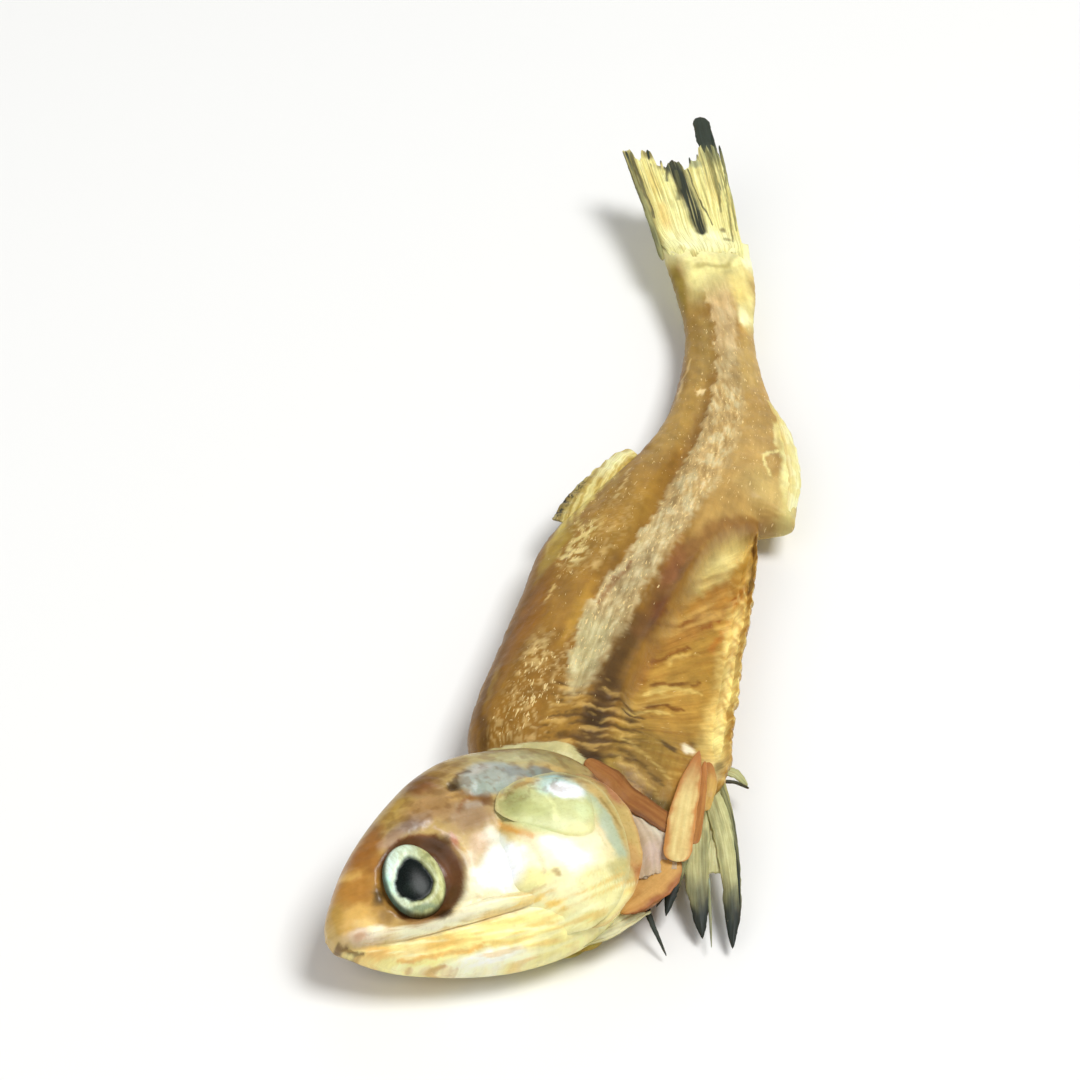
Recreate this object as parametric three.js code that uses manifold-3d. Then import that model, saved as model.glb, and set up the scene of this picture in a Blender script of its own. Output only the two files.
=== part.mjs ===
// A dried anchovy, about 80 mm long, lying on its right flank with the head bent back.
// Millimetres, +Z up: +X is the belly side, +Y the tail, and the fish rests on z = 0.
import * as THREE from 'three';
import { mergeVertices } from 'three/addons/utils/BufferGeometryUtils.js';
import Module from 'manifold-3d';

const wasm = await Module();
wasm.setup();

// Middle of the footprint, measured from the point under the middle of the head.
const FOOTPRINT_CENTRE = new THREE.Vector2(6.7, 30.3);

// Trunk: its axis runs under the silver stripe, from the neck to the root of the tail.
const AXIS_POINTS = [
  [3.9, 4.4, 3.2],
  [6.2, 10.2, 2.9],
  [9.7, 18.6, 2.7],
  [13.6, 27.5, 2.5],
  [16.8, 36.6, 2.2],
  [18.5, 46.5, 2.2],
  [18.5, 55.6, 3],
];
const TRUNK_LENGTH = 53.7;
const VENT_STATION = 28;
const TAIL_ROOT_DEPTH = 5.8;
const TRUNK_SIDES = 48;
const TRUNK_RINGS = 48;

// Half depths and half thicknesses of the trunk at stations along its axis.
const BACK_DEPTH = [
  [0, 3.2], [3, 5.5], [6.2, 6.2], [11, 6.4], [15.3, 6.6], [20, 6.9], [25, 5.9],
  [29.6, 4.3], [34.7, 3.2], [39.7, 2.6], [44.8, 2.2], [49.8, 2.5], [53.7, TAIL_ROOT_DEPTH / 2],
];
const BELLY_DEPTH = [[0, 4], [3, 6.8], [6.2, 7.8], [11, 7], [15.3, 6.3], [20, 5.5], [28, 3.9]];
const MUSCLE_DEPTH = [
  [VENT_STATION, 6], [31.1, 5.5], [33.8, 4.8], [36.3, 4.1], [38.8, 3], [42.5, 2.2],
  [45.5, 2.1], [49.3, 2.7], [53.7, TAIL_ROOT_DEPTH / 2],
];
const UPPER_THICKNESS = [
  [0, 1.9], [6, 2.7], [15, 2.8], [25, 2.7], [30, 2.4],
  [35, 1.9], [40, 1.5], [45, 1.2], [51, 0.9], [53.7, 0.3],
];
const LOWER_THICKNESS = [
  [0, 2], [6, 2.9], [15, 2.8], [25, 2.6], [30, 2.3],
  [35, 1.8], [40, 1.4], [45, 1.1], [51, 0.8], [53.7, 0.3],
];

const SECTION_SQUARENESS = 0.82;
const KEEL_THINNING = 0.45;

// Flank: long swells and grooves, as height, distance below the stripe and reach, with faint muscle bands.
const BACK_MUSCLE = [0.3, -3.4, 2.8];
const GROOVE = [-0.22, -1.3, 0.9];
const STRIPE = [0.12, 0, 1];
const BAND = { relief: 0.05, pitch: 1.6, tilt: -0.7 };
const RELIEF_FRONT = [3, 9];
const RELIEF_REAR = [36, 46];
const HIDDEN_SIDE_RELIEF = 0.6;

// Sunken belly: a pocket between the stripe and the keel that ends in an arch at the vent.
const POCKET_DEPTH = 1.25;
const POCKET_FRONT = [4, 9];
const POCKET_EDGE = 1.6;
const POCKET_SLOPE = 1.3;
const ARCH_START = 21;
const ARCH_DROP = 4.2;
const VENT_STEP = [VENT_STATION - 0.9, VENT_STATION + 0.3];
const RIB = { relief: 0.13, pitch: 1.9, tilt: -1 };

// Head, in its own frame: x forward to the snout, y to the crown, z out of the left cheek.
const HEAD_CENTRE = new THREE.Vector3(0, 0, 3.7);
const HEAD_HEADING = 17;
const HEAD_ROLL = 20;
const SNOUT_TIP = 9.1;
const HEAD_REAR = -7.5;
const CROWN = [
  [-7.5, 0], [-7.1, 2.9], [-6.2, 4.5], [-4.3, 5.6], [-1.1, 6.1], [0.7, 6], [2.4, 5.4],
  [3.6, 4.7], [5, 3.7], [6.4, 2.5], [7.5, 1.3], [8.6, -0.3], [9, -1.1], [9.1, -1.7],
];
const THROAT = [
  [-7.5, 0], [-7.2, -2.4], [-6.4, -3.6], [-5.2, -4.5], [-3.5, -5.2], [-1.5, -5.5],
  [0.6, -5.5], [3, -5.1], [5.1, -4.5], [6.4, -4], [7.9, -3.1], [8.8, -2.4], [9.1, -1.7],
];
const HEAD_HALF_WIDTH = [
  [-7.5, 0.6], [-6.6, 2.3], [-3, 3.2], [0, 3.1], [4, 2.6], [7, 1.8], [8.6, 1], [9.1, 0.2],
];
const HEAD_SIDES = 36;
const HEAD_RINGS = 32;

// Eyes, jaws and gill covers, in the head's frame.
const EYE_CENTRE = new THREE.Vector2(4.35, -0.55);
const EYE_RADII = [1.75, 2, 0.8];
const SOCKET_CENTRE = new THREE.Vector2(4.2, -0.5);
const SOCKET_RADIUS = 2.5;
const SOCKET_DEPTH = 0.65;
const SOCKET_LIP = 0.9;
const JAW_SLOPE = 0.15;
const JAW_REAR = [-1.5, -3.3];
const JAW_RIDGE = [0.22, 0, 0.7];
const JAW_FOLD = [-0.3, -0.8, 0.6];
const CHEEK_SQUARENESS = 0.8;
const COVER_CENTRE = [-3.1, -0.4];
const COVER_RADII = [4.3, 4.8, 0.6];
const COVER_DISHING = 0.055;
const COVER_SUNK = 0.35;

// Shoulder bones and flesh behind the gill cover, in the fish's frame: ends, radius and flatness.
const SHOULDER_BARS = [
  [[5.6, 6.1, 4.3], [10, 2.1, 3.4], 0.85, 0.8],
  [[11.5, 7.9, 3.6], [9.7, 0, 3.3], 0.8, 0.8],
  [[10.5, 0.5, 3.1], [6.7, -2.2, 2.3], 1.15, 0.8],
  [[12.4, 8.6, 2], [7.4, -0.4, 1.8], 1.7, 0.9],
];

// Fins: pleated sheets on the back, belly and tail, and fans of loose rays between two outer rays.
const FIN_THICKNESS = 0.36;
const PLEAT = 0.14;
const FIN_SWEEP = 1.6;
const FIN_LIFT = 0.35;
const BACK_FIN = { from: 21.5, to: 28.5, sunk: 0.7, rise: 2.2, rays: 6 };
const ANAL_FIN = { from: 29.3, to: 36.5, sunk: 0.8, rise: 1.15, rays: 7 };
const TAIL_RAYS = 11;
const TAIL_BACK_EDGE = [[15.9, 52], [14, 63.4]];
const TAIL_BELLY_EDGE = [[21.2, 52], [20.5, 63.4]];
const TAIL_HEIGHT = 2.9;
const TAIL_CURL = 1.9;
const TAIL_TIP = [3, 0.87, 0.17];
const TAIL_NOTCH = [-0.8, 0.46, 0.2];
const NEAR_PECTORAL = {
  roots: [[12.4, 6.4, 2.4], [10.4, 3.4, 2.2]],
  tips: [[12.6, -2.9, 0.7], [9.4, -1, 1]],
  count: 4,
  width: 1.1,
};
const FAR_PECTORAL = {
  roots: [[9.8, 1.8, 1.4], [8.6, 0.2, 1.4]],
  tips: [[10.3, -1.8, 0.5], [9.2, -3.1, 0.4]],
  count: 2,
  width: 0.6,
};
const PELVIC = {
  roots: [[12.7, 9.6, 1.9], [12.4, 8.6, 1.9]],
  tips: [[14.9, 8.1, 1.5], [14.3, 7.6, 1.5]],
  count: 2,
  width: 0.7,
};

// Block below the fish that its underside is pressed flat on.
const GROUND_SIZE = [200, 200, 20];

/** Smooth curve through [place, value] pairs, as a function of the place. */
function through(stations) {
  return (place) => {
    const last = stations.length - 1;
    let i = 0;
    while (i < last - 1 && place > stations[i + 1][0]) {
      i += 1;
    }
    const slope = (a, b) => (stations[b][1] - stations[a][1]) / (stations[b][0] - stations[a][0]);
    const [x0, y0] = stations[i];
    const [x1, y1] = stations[i + 1];
    const span = x1 - x0;
    const m0 = span * (i > 0 ? slope(i - 1, i + 1) : slope(i, i + 1));
    const m1 = span * (i < last - 1 ? slope(i, i + 2) : slope(i, i + 1));
    const t = THREE.MathUtils.clamp((place - x0) / span, 0, 1);
    const t2 = t * t;
    const t3 = t2 * t;
    return y0 * (2 * t3 - 3 * t2 + 1) + m0 * (t3 - 2 * t2 + t) + y1 * (3 * t2 - 2 * t3) + m1 * (t3 - t2);
  };
}

/** Round hump that fades to nothing at its reach from its middle. */
function hump(value, [height, middle, reach]) {
  return height * (1 - THREE.MathUtils.smoothstep(Math.abs(value - middle), 0, reach));
}

/** Waves that run across the flank, at a tilt to it. */
function waves(station, below, { relief, pitch, tilt }) {
  return relief * Math.sin((2 * Math.PI * (station + tilt * below)) / pitch);
}

/** Merges a geometry's corners and moves each of them by a function. */
function shaped(geometry, move) {
  geometry.deleteAttribute('normal');
  geometry.deleteAttribute('uv');
  const merged = mergeVertices(geometry, 1e-5);
  const position = merged.getAttribute('position');
  const point = new THREE.Vector3();
  for (let i = 0; i < position.count; i += 1) {
    point.fromBufferAttribute(position, i);
    move(point);
    position.setXYZ(i, point.x, point.y, point.z);
  }
  return merged;
}

/** Closed geometry as a solid that can be joined. A mirrored one has its faces turned out again. */
function solid(geometry) {
  const vertProperties = Float32Array.from(geometry.getAttribute('position').array);
  const triVerts = Uint32Array.from(geometry.index.array);
  const made = new wasm.Manifold(new wasm.Mesh({ numProp: 3, vertProperties, triVerts }));
  if (made.volume() > 0) {
    return made;
  }
  return new wasm.Manifold(new wasm.Mesh({ numProp: 3, vertProperties, triVerts: triVerts.reverse() }));
}

const axisPoints = AXIS_POINTS.map((p) => new THREE.Vector3(...p));
const axis = new THREE.CatmullRomCurve3(axisPoints, false, 'centripetal');
const backDepth = through(BACK_DEPTH);
const bellyDepth = through(BELLY_DEPTH);
const muscleDepth = through(MUSCLE_DEPTH);
const upperThickness = through(UPPER_THICKNESS);
const lowerThickness = through(LOWER_THICKNESS);

/** Depth of the trunk on its belly side, with the step where the belly ends at the vent. */
function ventralDepth(station) {
  const behind = THREE.MathUtils.smoothstep(station, ...VENT_STEP);
  return THREE.MathUtils.lerp(bellyDepth(station), muscleDepth(station), behind);
}

/** How far inside the belly pocket a place is, from 0 outside to 1, by its distance below the stripe. */
function pocket(station, below) {
  const toVent = Math.max(0, (station - ARCH_START) / (VENT_STATION - ARCH_START));
  const edge = POCKET_EDGE + ARCH_DROP * toVent ** 3;
  const across = THREE.MathUtils.smoothstep(below, edge - POCKET_SLOPE / 4, edge + (3 * POCKET_SLOPE) / 4);
  const front = THREE.MathUtils.smoothstep(station, ...POCKET_FRONT);
  const rear = 1 - THREE.MathUtils.smoothstep(station, VENT_STEP[0], VENT_STATION);
  return across * front * rear;
}

/** Height added to the flank at a place: back muscle, stripe, ribbed belly pocket and muscle bands. */
function flankRelief(station, below) {
  const inside = pocket(station, below);
  const front = THREE.MathUtils.smoothstep(station, ...RELIEF_FRONT);
  const fade = front * (1 - THREE.MathUtils.smoothstep(station, ...RELIEF_REAR));
  const swells = hump(below, BACK_MUSCLE) + hump(below, GROOVE) + hump(below, STRIPE);
  const bands = waves(station, Math.abs(below), BAND);
  return inside * (waves(station, below, RIB) - POCKET_DEPTH) + fade * (swells + (1 - inside) * bands);
}

/** Place on the trunk's surface for a corner of the unit cylinder that is wrapped round it. */
function wrapTrunk(point) {
  const station = TRUNK_LENGTH * (point.y + 0.5);
  const along = THREE.MathUtils.clamp(station / TRUNK_LENGTH, 0, 1);
  const middle = axis.getPointAt(along);
  const tangent = axis.getTangentAt(along);
  const outward = new THREE.Vector2(tangent.y, -tangent.x).normalize();
  const below = point.x * (point.x < 0 ? backDepth(station) : ventralDepth(station));
  const thickness = point.z > 0 ? upperThickness(station) : lowerThickness(station);
  const thinning = KEEL_THINNING * (station < VENT_STATION ? 1 : 0.5);
  const keel = 1 - thinning * THREE.MathUtils.smoothstep(point.x, 0.3, 1);
  const height = Math.sign(point.z) * Math.abs(point.z) ** SECTION_SQUARENESS * thickness * keel;
  const onFlank = THREE.MathUtils.smoothstep(Math.abs(point.z), 0.12, 0.5);
  const relief = onFlank * flankRelief(station, below) * (point.z > 0 ? 1 : HIDDEN_SIDE_RELIEF);
  const z = middle.z + height + Math.sign(point.z) * relief;
  point.set(middle.x + outward.x * below, middle.y + outward.y * below, z);
}

/** Trunk from the neck to the tail root. */
function trunk() {
  return shaped(new THREE.CylinderGeometry(1, 1, 1, TRUNK_SIDES, TRUNK_RINGS), wrapTrunk);
}

/** Turns points of the head's own frame into the fish's frame. */
const headToFish = new THREE.Matrix4()
  .makeTranslation(HEAD_CENTRE)
  .multiply(new THREE.Matrix4().makeRotationZ(THREE.MathUtils.degToRad(180 + HEAD_HEADING)))
  .multiply(new THREE.Matrix4().makeRotationX(THREE.MathUtils.degToRad(-HEAD_ROLL)))
  .multiply(new THREE.Matrix4().makeScale(1, -1, 1));

const crown = through(CROWN);
const throat = through(THROAT);
const headHalfWidth = through(HEAD_HALF_WIDTH);

/** Height added to the cheek at a place: the sunken eye socket, and the jaw bone with the fold below it. */
function cheekRelief(x, y) {
  const reach = Math.hypot(x - SOCKET_CENTRE.x, y - SOCKET_CENTRE.y);
  const socket = 1 - THREE.MathUtils.smoothstep(reach, SOCKET_RADIUS - SOCKET_LIP, SOCKET_RADIUS);
  const aboveJaw = y - JAW_REAR[1] - JAW_SLOPE * (x - JAW_REAR[0]);
  const jaw = hump(aboveJaw, JAW_RIDGE) + hump(aboveJaw, JAW_FOLD);
  return jaw * THREE.MathUtils.smoothstep(x, JAW_REAR[0] - 1, JAW_REAR[0] + 1) - SOCKET_DEPTH * socket;
}

/** Place on the head's surface for a corner of the unit sphere whose poles are the snout and the nape. */
function wrapHead(point) {
  const x = THREE.MathUtils.lerp(HEAD_REAR, SNOUT_TIP, (point.y + 1) / 2);
  const ring = Math.max(1e-6, Math.hypot(point.x, point.z));
  const up = point.x / ring;
  const out = point.z / ring;
  const top = crown(x);
  const bottom = throat(x);
  const y = (top + bottom) / 2 + (up * (top - bottom)) / 2;
  const cheek = Math.abs(out) ** CHEEK_SQUARENESS * headHalfWidth(x);
  const relief = cheekRelief(x, y) * THREE.MathUtils.smoothstep(Math.abs(out), 0.1, 0.6);
  point.set(x, y, Math.sign(out) * (cheek + relief)).applyMatrix4(headToFish);
}

/** Skull and cheeks as one shell. */
function head() {
  return shaped(new THREE.SphereGeometry(1, HEAD_SIDES, HEAD_RINGS), wrapHead);
}

/** Smooth bean of three radii at a place of the head, with its ends bent inwards by `dishing`. */
function bean(centre, radii, dishing, sides, rings) {
  const side = Math.sign(centre[2]);
  return shaped(new THREE.SphereGeometry(1, sides, rings), (point) => {
    point.multiply(new THREE.Vector3(...radii));
    point.z -= side * dishing * point.y ** 2;
    point.add(new THREE.Vector3(...centre)).applyMatrix4(headToFish);
  });
}

/** Eyeball in its socket, a little proud of the cheek. */
function eye(side) {
  const out = side * (headHalfWidth(EYE_CENTRE.x) - SOCKET_DEPTH);
  return bean([EYE_CENTRE.x, EYE_CENTRE.y, out], EYE_RADII, 0, 16, 8);
}

/** Gill cover: a shallow dish that stands over the shoulder. */
function gillCover(side) {
  const out = side * (headHalfWidth(COVER_CENTRE[0]) - COVER_SUNK);
  return bean([...COVER_CENTRE, out], COVER_RADII, COVER_DISHING, 20, 10);
}

/** Round bar that tapers from its middle to both ends. */
function bar(from, to, radius, flatness) {
  const start = new THREE.Vector3(...from);
  const way = new THREE.Vector3(...to).sub(start);
  const turn = new THREE.Quaternion().setFromUnitVectors(new THREE.Vector3(0, 1, 0), way.clone().normalize());
  return shaped(new THREE.SphereGeometry(1, 8, 6), (point) => {
    point.multiply(new THREE.Vector3(radius, way.length() / 2, radius * flatness));
    point.applyQuaternion(turn).addScaledVector(way, 0.5).add(start);
  });
}

/** Pleated fin sheet: `place(across, along)` gives its middle surface, both running from 0 to 1. */
function finSheet(place, rays, steps) {
  return shaped(new THREE.BoxGeometry(1, 1, 1, rays * 2, steps, 1), (point) => {
    const across = point.x + 0.5;
    const along = point.y + 0.5;
    const side = Math.sign(point.z);
    const ridge = PLEAT * Math.cos(2 * Math.PI * rays * across);
    const middle = place(across, along);
    point.copy(middle);
    point.z = middle.z + ridge + (side * FIN_THICKNESS) / 2;
  });
}

/** Tail fin: two lobes folded close together, the tip of the belly lobe the longer one. */
function tailFin() {
  const mix = THREE.MathUtils.lerp;
  return finSheet((across, along) => {
    const longer = hump(across, TAIL_TIP) + hump(across, TAIL_NOTCH);
    const reach = along * (1 + longer / (TAIL_BACK_EDGE[1][1] - TAIL_BACK_EDGE[0][1]));
    const [back, belly] = [TAIL_BACK_EDGE, TAIL_BELLY_EDGE].map((ends) => mix(ends[0][0], ends[1][0], reach));
    const y = mix(TAIL_BACK_EDGE[0][1], TAIL_BACK_EDGE[1][1], reach);
    return new THREE.Vector3(mix(back, belly, across), y, TAIL_HEIGHT + TAIL_CURL * along ** 1.4);
  }, TAIL_RAYS, 6);
}

/** Fin folded along an edge of the trunk. `edge` gives the edge's distance from the axis, minus on the back. */
function edgeFin({ from, to, sunk, rise, rays }, edge) {
  return finSheet((across, along) => {
    const station = THREE.MathUtils.lerp(from, to, across) + FIN_SWEEP * along;
    const point = axis.getPointAt(station / TRUNK_LENGTH);
    const tangent = axis.getTangentAt(station / TRUNK_LENGTH);
    const height = rise * Math.sin(Math.PI * Math.min(1, 0.22 + 0.7 * across)) * along - sunk;
    const reach = edge(station) + Math.sign(edge(station)) * height;
    const shift = new THREE.Vector3(tangent.y, -tangent.x, 0).normalize().multiplyScalar(reach);
    return point.add(shift).setZ(point.z + FIN_LIFT);
  }, rays, 2);
}

/** Loose fin ray: a flat blade that narrows to its tip. */
function ray(from, to, width) {
  const start = new THREE.Vector3(...from);
  const way = new THREE.Vector3(...to).sub(start);
  const across = new THREE.Vector3(way.y, -way.x, 0).normalize();
  return shaped(new THREE.BoxGeometry(1, 1, 1, 1, 4, 1), (point) => {
    const along = point.y + 0.5;
    const half = (width / 2) * (1 - 0.7 * along ** 2) * Math.sign(point.x);
    const drop = 0.4 * Math.sin(Math.PI * along);
    const thick = Math.sign(point.z) * (FIN_THICKNESS / 2);
    point.copy(start).addScaledVector(way, along).addScaledVector(across, half);
    point.z += thick + drop;
  });
}

/** Fan of loose rays between two outer ones. */
function rayFan({ roots, tips, count, width }) {
  const mix = (ends, t) => ends[0].map((value, i) => THREE.MathUtils.lerp(value, ends[1][i], t));
  return Array.from({ length: count }, (_, i) => {
    const t = i / (count - 1);
    return ray(mix(roots, t), mix(tips, t), width);
  });
}

/** Fins of the tail, back and belly, and the paired fins. */
function fins() {
  return [
    tailFin(),
    edgeFin(BACK_FIN, (station) => -backDepth(station)),
    edgeFin(ANAL_FIN, ventralDepth),
    ...rayFan(NEAR_PECTORAL),
    ...rayFan(FAR_PECTORAL),
    ...rayFan(PELVIC),
  ];
}

/** The whole fish joined into one body, its footprint centred on the origin. */
function anchovy() {
  const pieces = [trunk(), head(), ...SHOULDER_BARS.map((ends) => bar(...ends)), ...fins()];
  for (const side of [1, -1]) {
    pieces.push(eye(side), gillCover(side));
  }
  const ground = new THREE.BoxGeometry(...GROUND_SIZE).translate(0, 0, -GROUND_SIZE[2] / 2);
  const joined = pieces.map(solid).reduce((whole, piece) => whole.add(piece));
  const rested = joined.subtract(solid(shaped(ground, () => {})));
  const outer = rested.decompose().reduce((most, piece) => (piece.volume() > most.volume() ? piece : most));
  const { numProp, vertProperties, triVerts } = outer.getMesh();
  const geometry = new THREE.BufferGeometry();
  const corners = new THREE.InterleavedBuffer(vertProperties, numProp);
  geometry.setAttribute('position', new THREE.InterleavedBufferAttribute(corners, 3, 0));
  geometry.setIndex(new THREE.BufferAttribute(triVerts, 1));
  geometry.translate(-FOOTPRINT_CENTRE.x, -FOOTPRINT_CENTRE.y, 0);
  return geometry.toNonIndexed();
}

const flesh = new THREE.MeshStandardMaterial({ color: 0xb88a4c, roughness: 0.45, metalness: 0 });
const fish = new THREE.Mesh(anchovy(), flesh);
fish.name = 'anchovy';

const group = new THREE.Group();
group.add(fish);

export default group;
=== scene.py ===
"""Dresses a dried anchovy that lies on its right flank with its head bent back.

Sizes are millimetres in the fish's own frame: the origin is under the middle of the head, +X is the belly side,
+Y the tail and +Z up. Flank places are (station, below): distance from the neck, and distance below the silver
stripe's axis, which is negative towards the back. Head places are (x, y): forward to the snout, up to the crown.
"""

import logging
import math
from collections.abc import Callable, Sequence
from dataclasses import dataclass
from enum import Enum

import bmesh
import bpy
import numpy as np
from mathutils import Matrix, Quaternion, Vector, noise


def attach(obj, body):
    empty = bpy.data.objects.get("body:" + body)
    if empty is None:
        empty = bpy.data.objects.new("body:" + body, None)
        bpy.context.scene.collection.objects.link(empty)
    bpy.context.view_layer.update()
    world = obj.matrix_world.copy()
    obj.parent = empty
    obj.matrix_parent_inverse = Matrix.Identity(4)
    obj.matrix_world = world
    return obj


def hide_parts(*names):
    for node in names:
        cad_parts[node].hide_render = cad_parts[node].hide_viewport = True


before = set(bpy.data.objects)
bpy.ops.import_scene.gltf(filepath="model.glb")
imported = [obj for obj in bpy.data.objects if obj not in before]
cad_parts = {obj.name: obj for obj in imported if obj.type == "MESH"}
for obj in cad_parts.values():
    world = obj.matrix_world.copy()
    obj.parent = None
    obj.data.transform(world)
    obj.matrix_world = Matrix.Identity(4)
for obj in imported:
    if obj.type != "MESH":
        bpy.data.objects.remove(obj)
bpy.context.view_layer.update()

log = logging.getLogger("anchovy")

Array = np.ndarray
Amount = Array | float
Colour = tuple[int, int, int]
Pair = tuple[float, float]
Triple = tuple[float, float, float]
Stations = Sequence[Pair]
Places = Sequence[tuple[float, ...]]
Tree = bpy.types.NodeTree
Piece = bpy.types.Object
Socket = bpy.types.NodeSocket

MM = 0.001
FOOTPRINT_CENTRE = (6.7, 30.3, 0.0)
NODE = "anchovy"
BODY = "root"
FULL_TURN = 2 * math.pi
# on a unit sphere, corners nearer to the axis than this are its poles
POLE_REACH = 1e-5
# points that a path, a plate's edge and a fin's edge are worked out with
PATH_POINTS, PLATE_POINTS, FIN_POINTS, WEB_POINTS = 160, 240, 200, 100


class Side(Enum):
    """Flank of the fish: the left one is up, the right one lies on the floor."""

    LEFT = 1
    RIGHT = -1


# ---- numbers


def smooth(value: Amount, low: float, high: float) -> Array:
    """Rises softly from 0 at `low` to 1 at `high`."""
    share = np.clip((np.asarray(value, float) - low) / (high - low), 0, 1)
    return share * share * (3 - 2 * share)


def mix(a: Amount, b: Amount, share: Amount) -> Array:
    """Value between `a` and `b`."""
    return a + (b - a) * share


def band(value: Amount, rise: Pair, fall: Pair) -> Array:
    """1 between a soft rise and a soft fall, each given by its two ends, and 0 outside them."""
    return smooth(value, *rise) * (1 - smooth(value, *fall))


def hump(value: Array, height: float, middle: float, reach: float) -> Array:
    """Round hump that fades to nothing at its reach from its middle."""
    return height * (1 - smooth(np.abs(value - middle), 0, reach))


def through(stations: Stations) -> Callable[[Amount], Array]:
    """Smooth curve through (place, value) pairs.

    Args:
        stations: pairs in rising order of place.

    Returns:
        The value as a function of the place.
    """
    places, values = np.array(stations, float).T
    ends = np.arange(len(places))
    ahead, behind = np.minimum(ends + 1, ends[-1]), np.maximum(ends - 1, 0)
    slopes = (values[ahead] - values[behind]) / (places[ahead] - places[behind])

    def curve(place: Amount) -> Array:
        """Value of the curve at a place."""
        i = np.clip(np.searchsorted(places, place, side="right") - 1, 0, ends[-1] - 1)
        span = places[i + 1] - places[i]
        t = np.clip((place - places[i]) / span, 0, 1)
        start = values[i] * (2 * t**3 - 3 * t**2 + 1) + slopes[i] * span * (t**3 - 2 * t**2 + t)
        return start + values[i + 1] * (3 * t**2 - 2 * t**3) + slopes[i + 1] * span * (t**3 - t**2)

    return curve


def ripple(u: Array, v: Array, pitch: Pair, seed: float, octaves: int = 3) -> Array:
    """Smooth noise, from about -1 to 1.

    Args:
        u, v: flat coordinates.
        pitch: size of the waves along each of them.
        seed: picks another pattern.
        octaves: how many finer patterns are in it.

    Returns:
        The noise at each place.
    """
    u, v = np.broadcast_arrays(np.asarray(u, float), np.asarray(v, float))
    spots = zip((u / pitch[0]).ravel().tolist(), (v / pitch[1]).ravel().tolist())
    values = [noise.fractal((a, b, seed), 0.9, 2.1, octaves) for a, b in spots]
    return np.reshape(values, u.shape) if u.shape else np.float64(values[0])


def wander(along: Array, waves: float, seed: float, octaves: int = 3) -> Array:
    """Smooth noise of one coordinate, with a number of waves to each unit of it."""
    return ripple(along * waves, 0.0, (1, 1), seed, octaves)


def linear(colour: Colour) -> Array:
    """Linear light of an sRGB colour from 0 to 255."""
    share = np.asarray(colour, float) / 255
    return np.where(share <= 0.04045, share / 12.92, ((share + 0.055) / 1.055) ** 2.4)


def to_segment(points: Array, start: Array, end: Array) -> tuple[Array, Array]:
    """Distance of points from a segment, and how far along it they are."""
    way = end - start
    along = np.clip(((points - start) @ way) / (way @ way), 0, 1)
    return np.linalg.norm(points - start - along[:, None] * way, axis=1), along


def run_along(points: Array) -> Array:
    """Distance of each point of a row from the first, along the row."""
    return np.concatenate([[0], np.cumsum(np.linalg.norm(np.diff(points, axis=0), axis=1))])


def evened(points: Array, count: int) -> Array:
    """The line through a row of points, in equal steps."""
    run = run_along(points)
    wanted = np.linspace(0, run[-1], count)
    return np.stack([np.interp(wanted, run, axis) for axis in points.T], 1)


def at_steps(row: Array, step: Array) -> Array:
    """Points between those of a row, at places that are counted in its steps."""
    return np.stack([np.interp(step, np.arange(len(row)), axis) for axis in row.T], -1)


def spline(points: Places, count: int) -> Array:
    """Points in equal steps on a smooth curve through a few points.

    Args:
        points: two or more places.
        count: how many points come back.

    Returns:
        An array of `count` points.
    """
    given = np.asarray(points, float)
    if len(given) == 2:
        return mix(given[0], given[1], np.linspace(0, 1, count)[:, None])
    run = run_along(given)
    fine = np.linspace(0, run[-1], count * 4)
    return evened(np.stack([through(list(zip(run, axis)))(fine) for axis in given.T], 1), count)


# ---- colours laid on corners


class Chart:
    """Flat coordinates of a surface, made a little irregular, with soft shapes to lay colour by."""

    def __init__(self, u: Array, v: Array, warp: float, pitch: float, seed: float) -> None:
        """Bends the coordinates by smooth noise.

        Args:
            u, v: the flat coordinates.
            warp: how far a border wanders.
            pitch: length of its waves.
            seed: picks another pattern.
        """
        self.u = u + warp * ripple(u, v, (pitch, pitch), seed, 4)
        self.v = v + warp * ripple(u, v, (pitch, pitch), seed + 9.7, 4)

    def spot(self, centre: Pair, radii: Pair, turn: float = 0, soft: float = 0.5) -> Array:
        """Soft ellipse, turned by degrees: 1 inside it and 0 outside."""
        angle = math.radians(turn)
        du, dv = self.u - centre[0], self.v - centre[1]
        along = (du * math.cos(angle) + dv * math.sin(angle)) / radii[0]
        across = (dv * math.cos(angle) - du * math.sin(angle)) / radii[1]
        return 1 - smooth(np.hypot(along, across), 1 - soft, 1 + soft / 2)

    def line(self, points: Places, width: float, soft: float = 0.6, taper: float = 0.0) -> Array:
        """Soft line through points.

        Args:
            points: places on the chart.
            width: its full width.
            soft: share of the width over which it fades.
            taper: share of the width that is lost at its end.

        Returns:
            1 on the line and 0 off it.
        """
        way = spline(points, 4 * len(points))
        here = np.stack([self.u, self.v], 1)
        nearest, along = np.full(len(here), np.inf), np.zeros(len(here))
        for i in range(len(way) - 1):
            distance, share = to_segment(here, way[i], way[i + 1])
            closer = distance < nearest
            nearest[closer] = distance[closer]
            along[closer] = (i + share[closer]) / (len(way) - 1)
        half = width / 2 * (1 - taper * along)
        return 1 - smooth(nearest / half, 1 - soft, 1 + soft / 2)


@dataclass(frozen=True)
class Dab:
    """Soft ellipse of colour on a chart."""

    colour: Colour
    centre: Pair
    radii: Pair
    turn: float = 0.0
    strength: float = 0.9
    soft: float = 0.6

    def mask(self, chart: Chart) -> Array:
        """Where it lies, from 0 to 1."""
        return self.strength * chart.spot(self.centre, self.radii, self.turn, self.soft)


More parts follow.
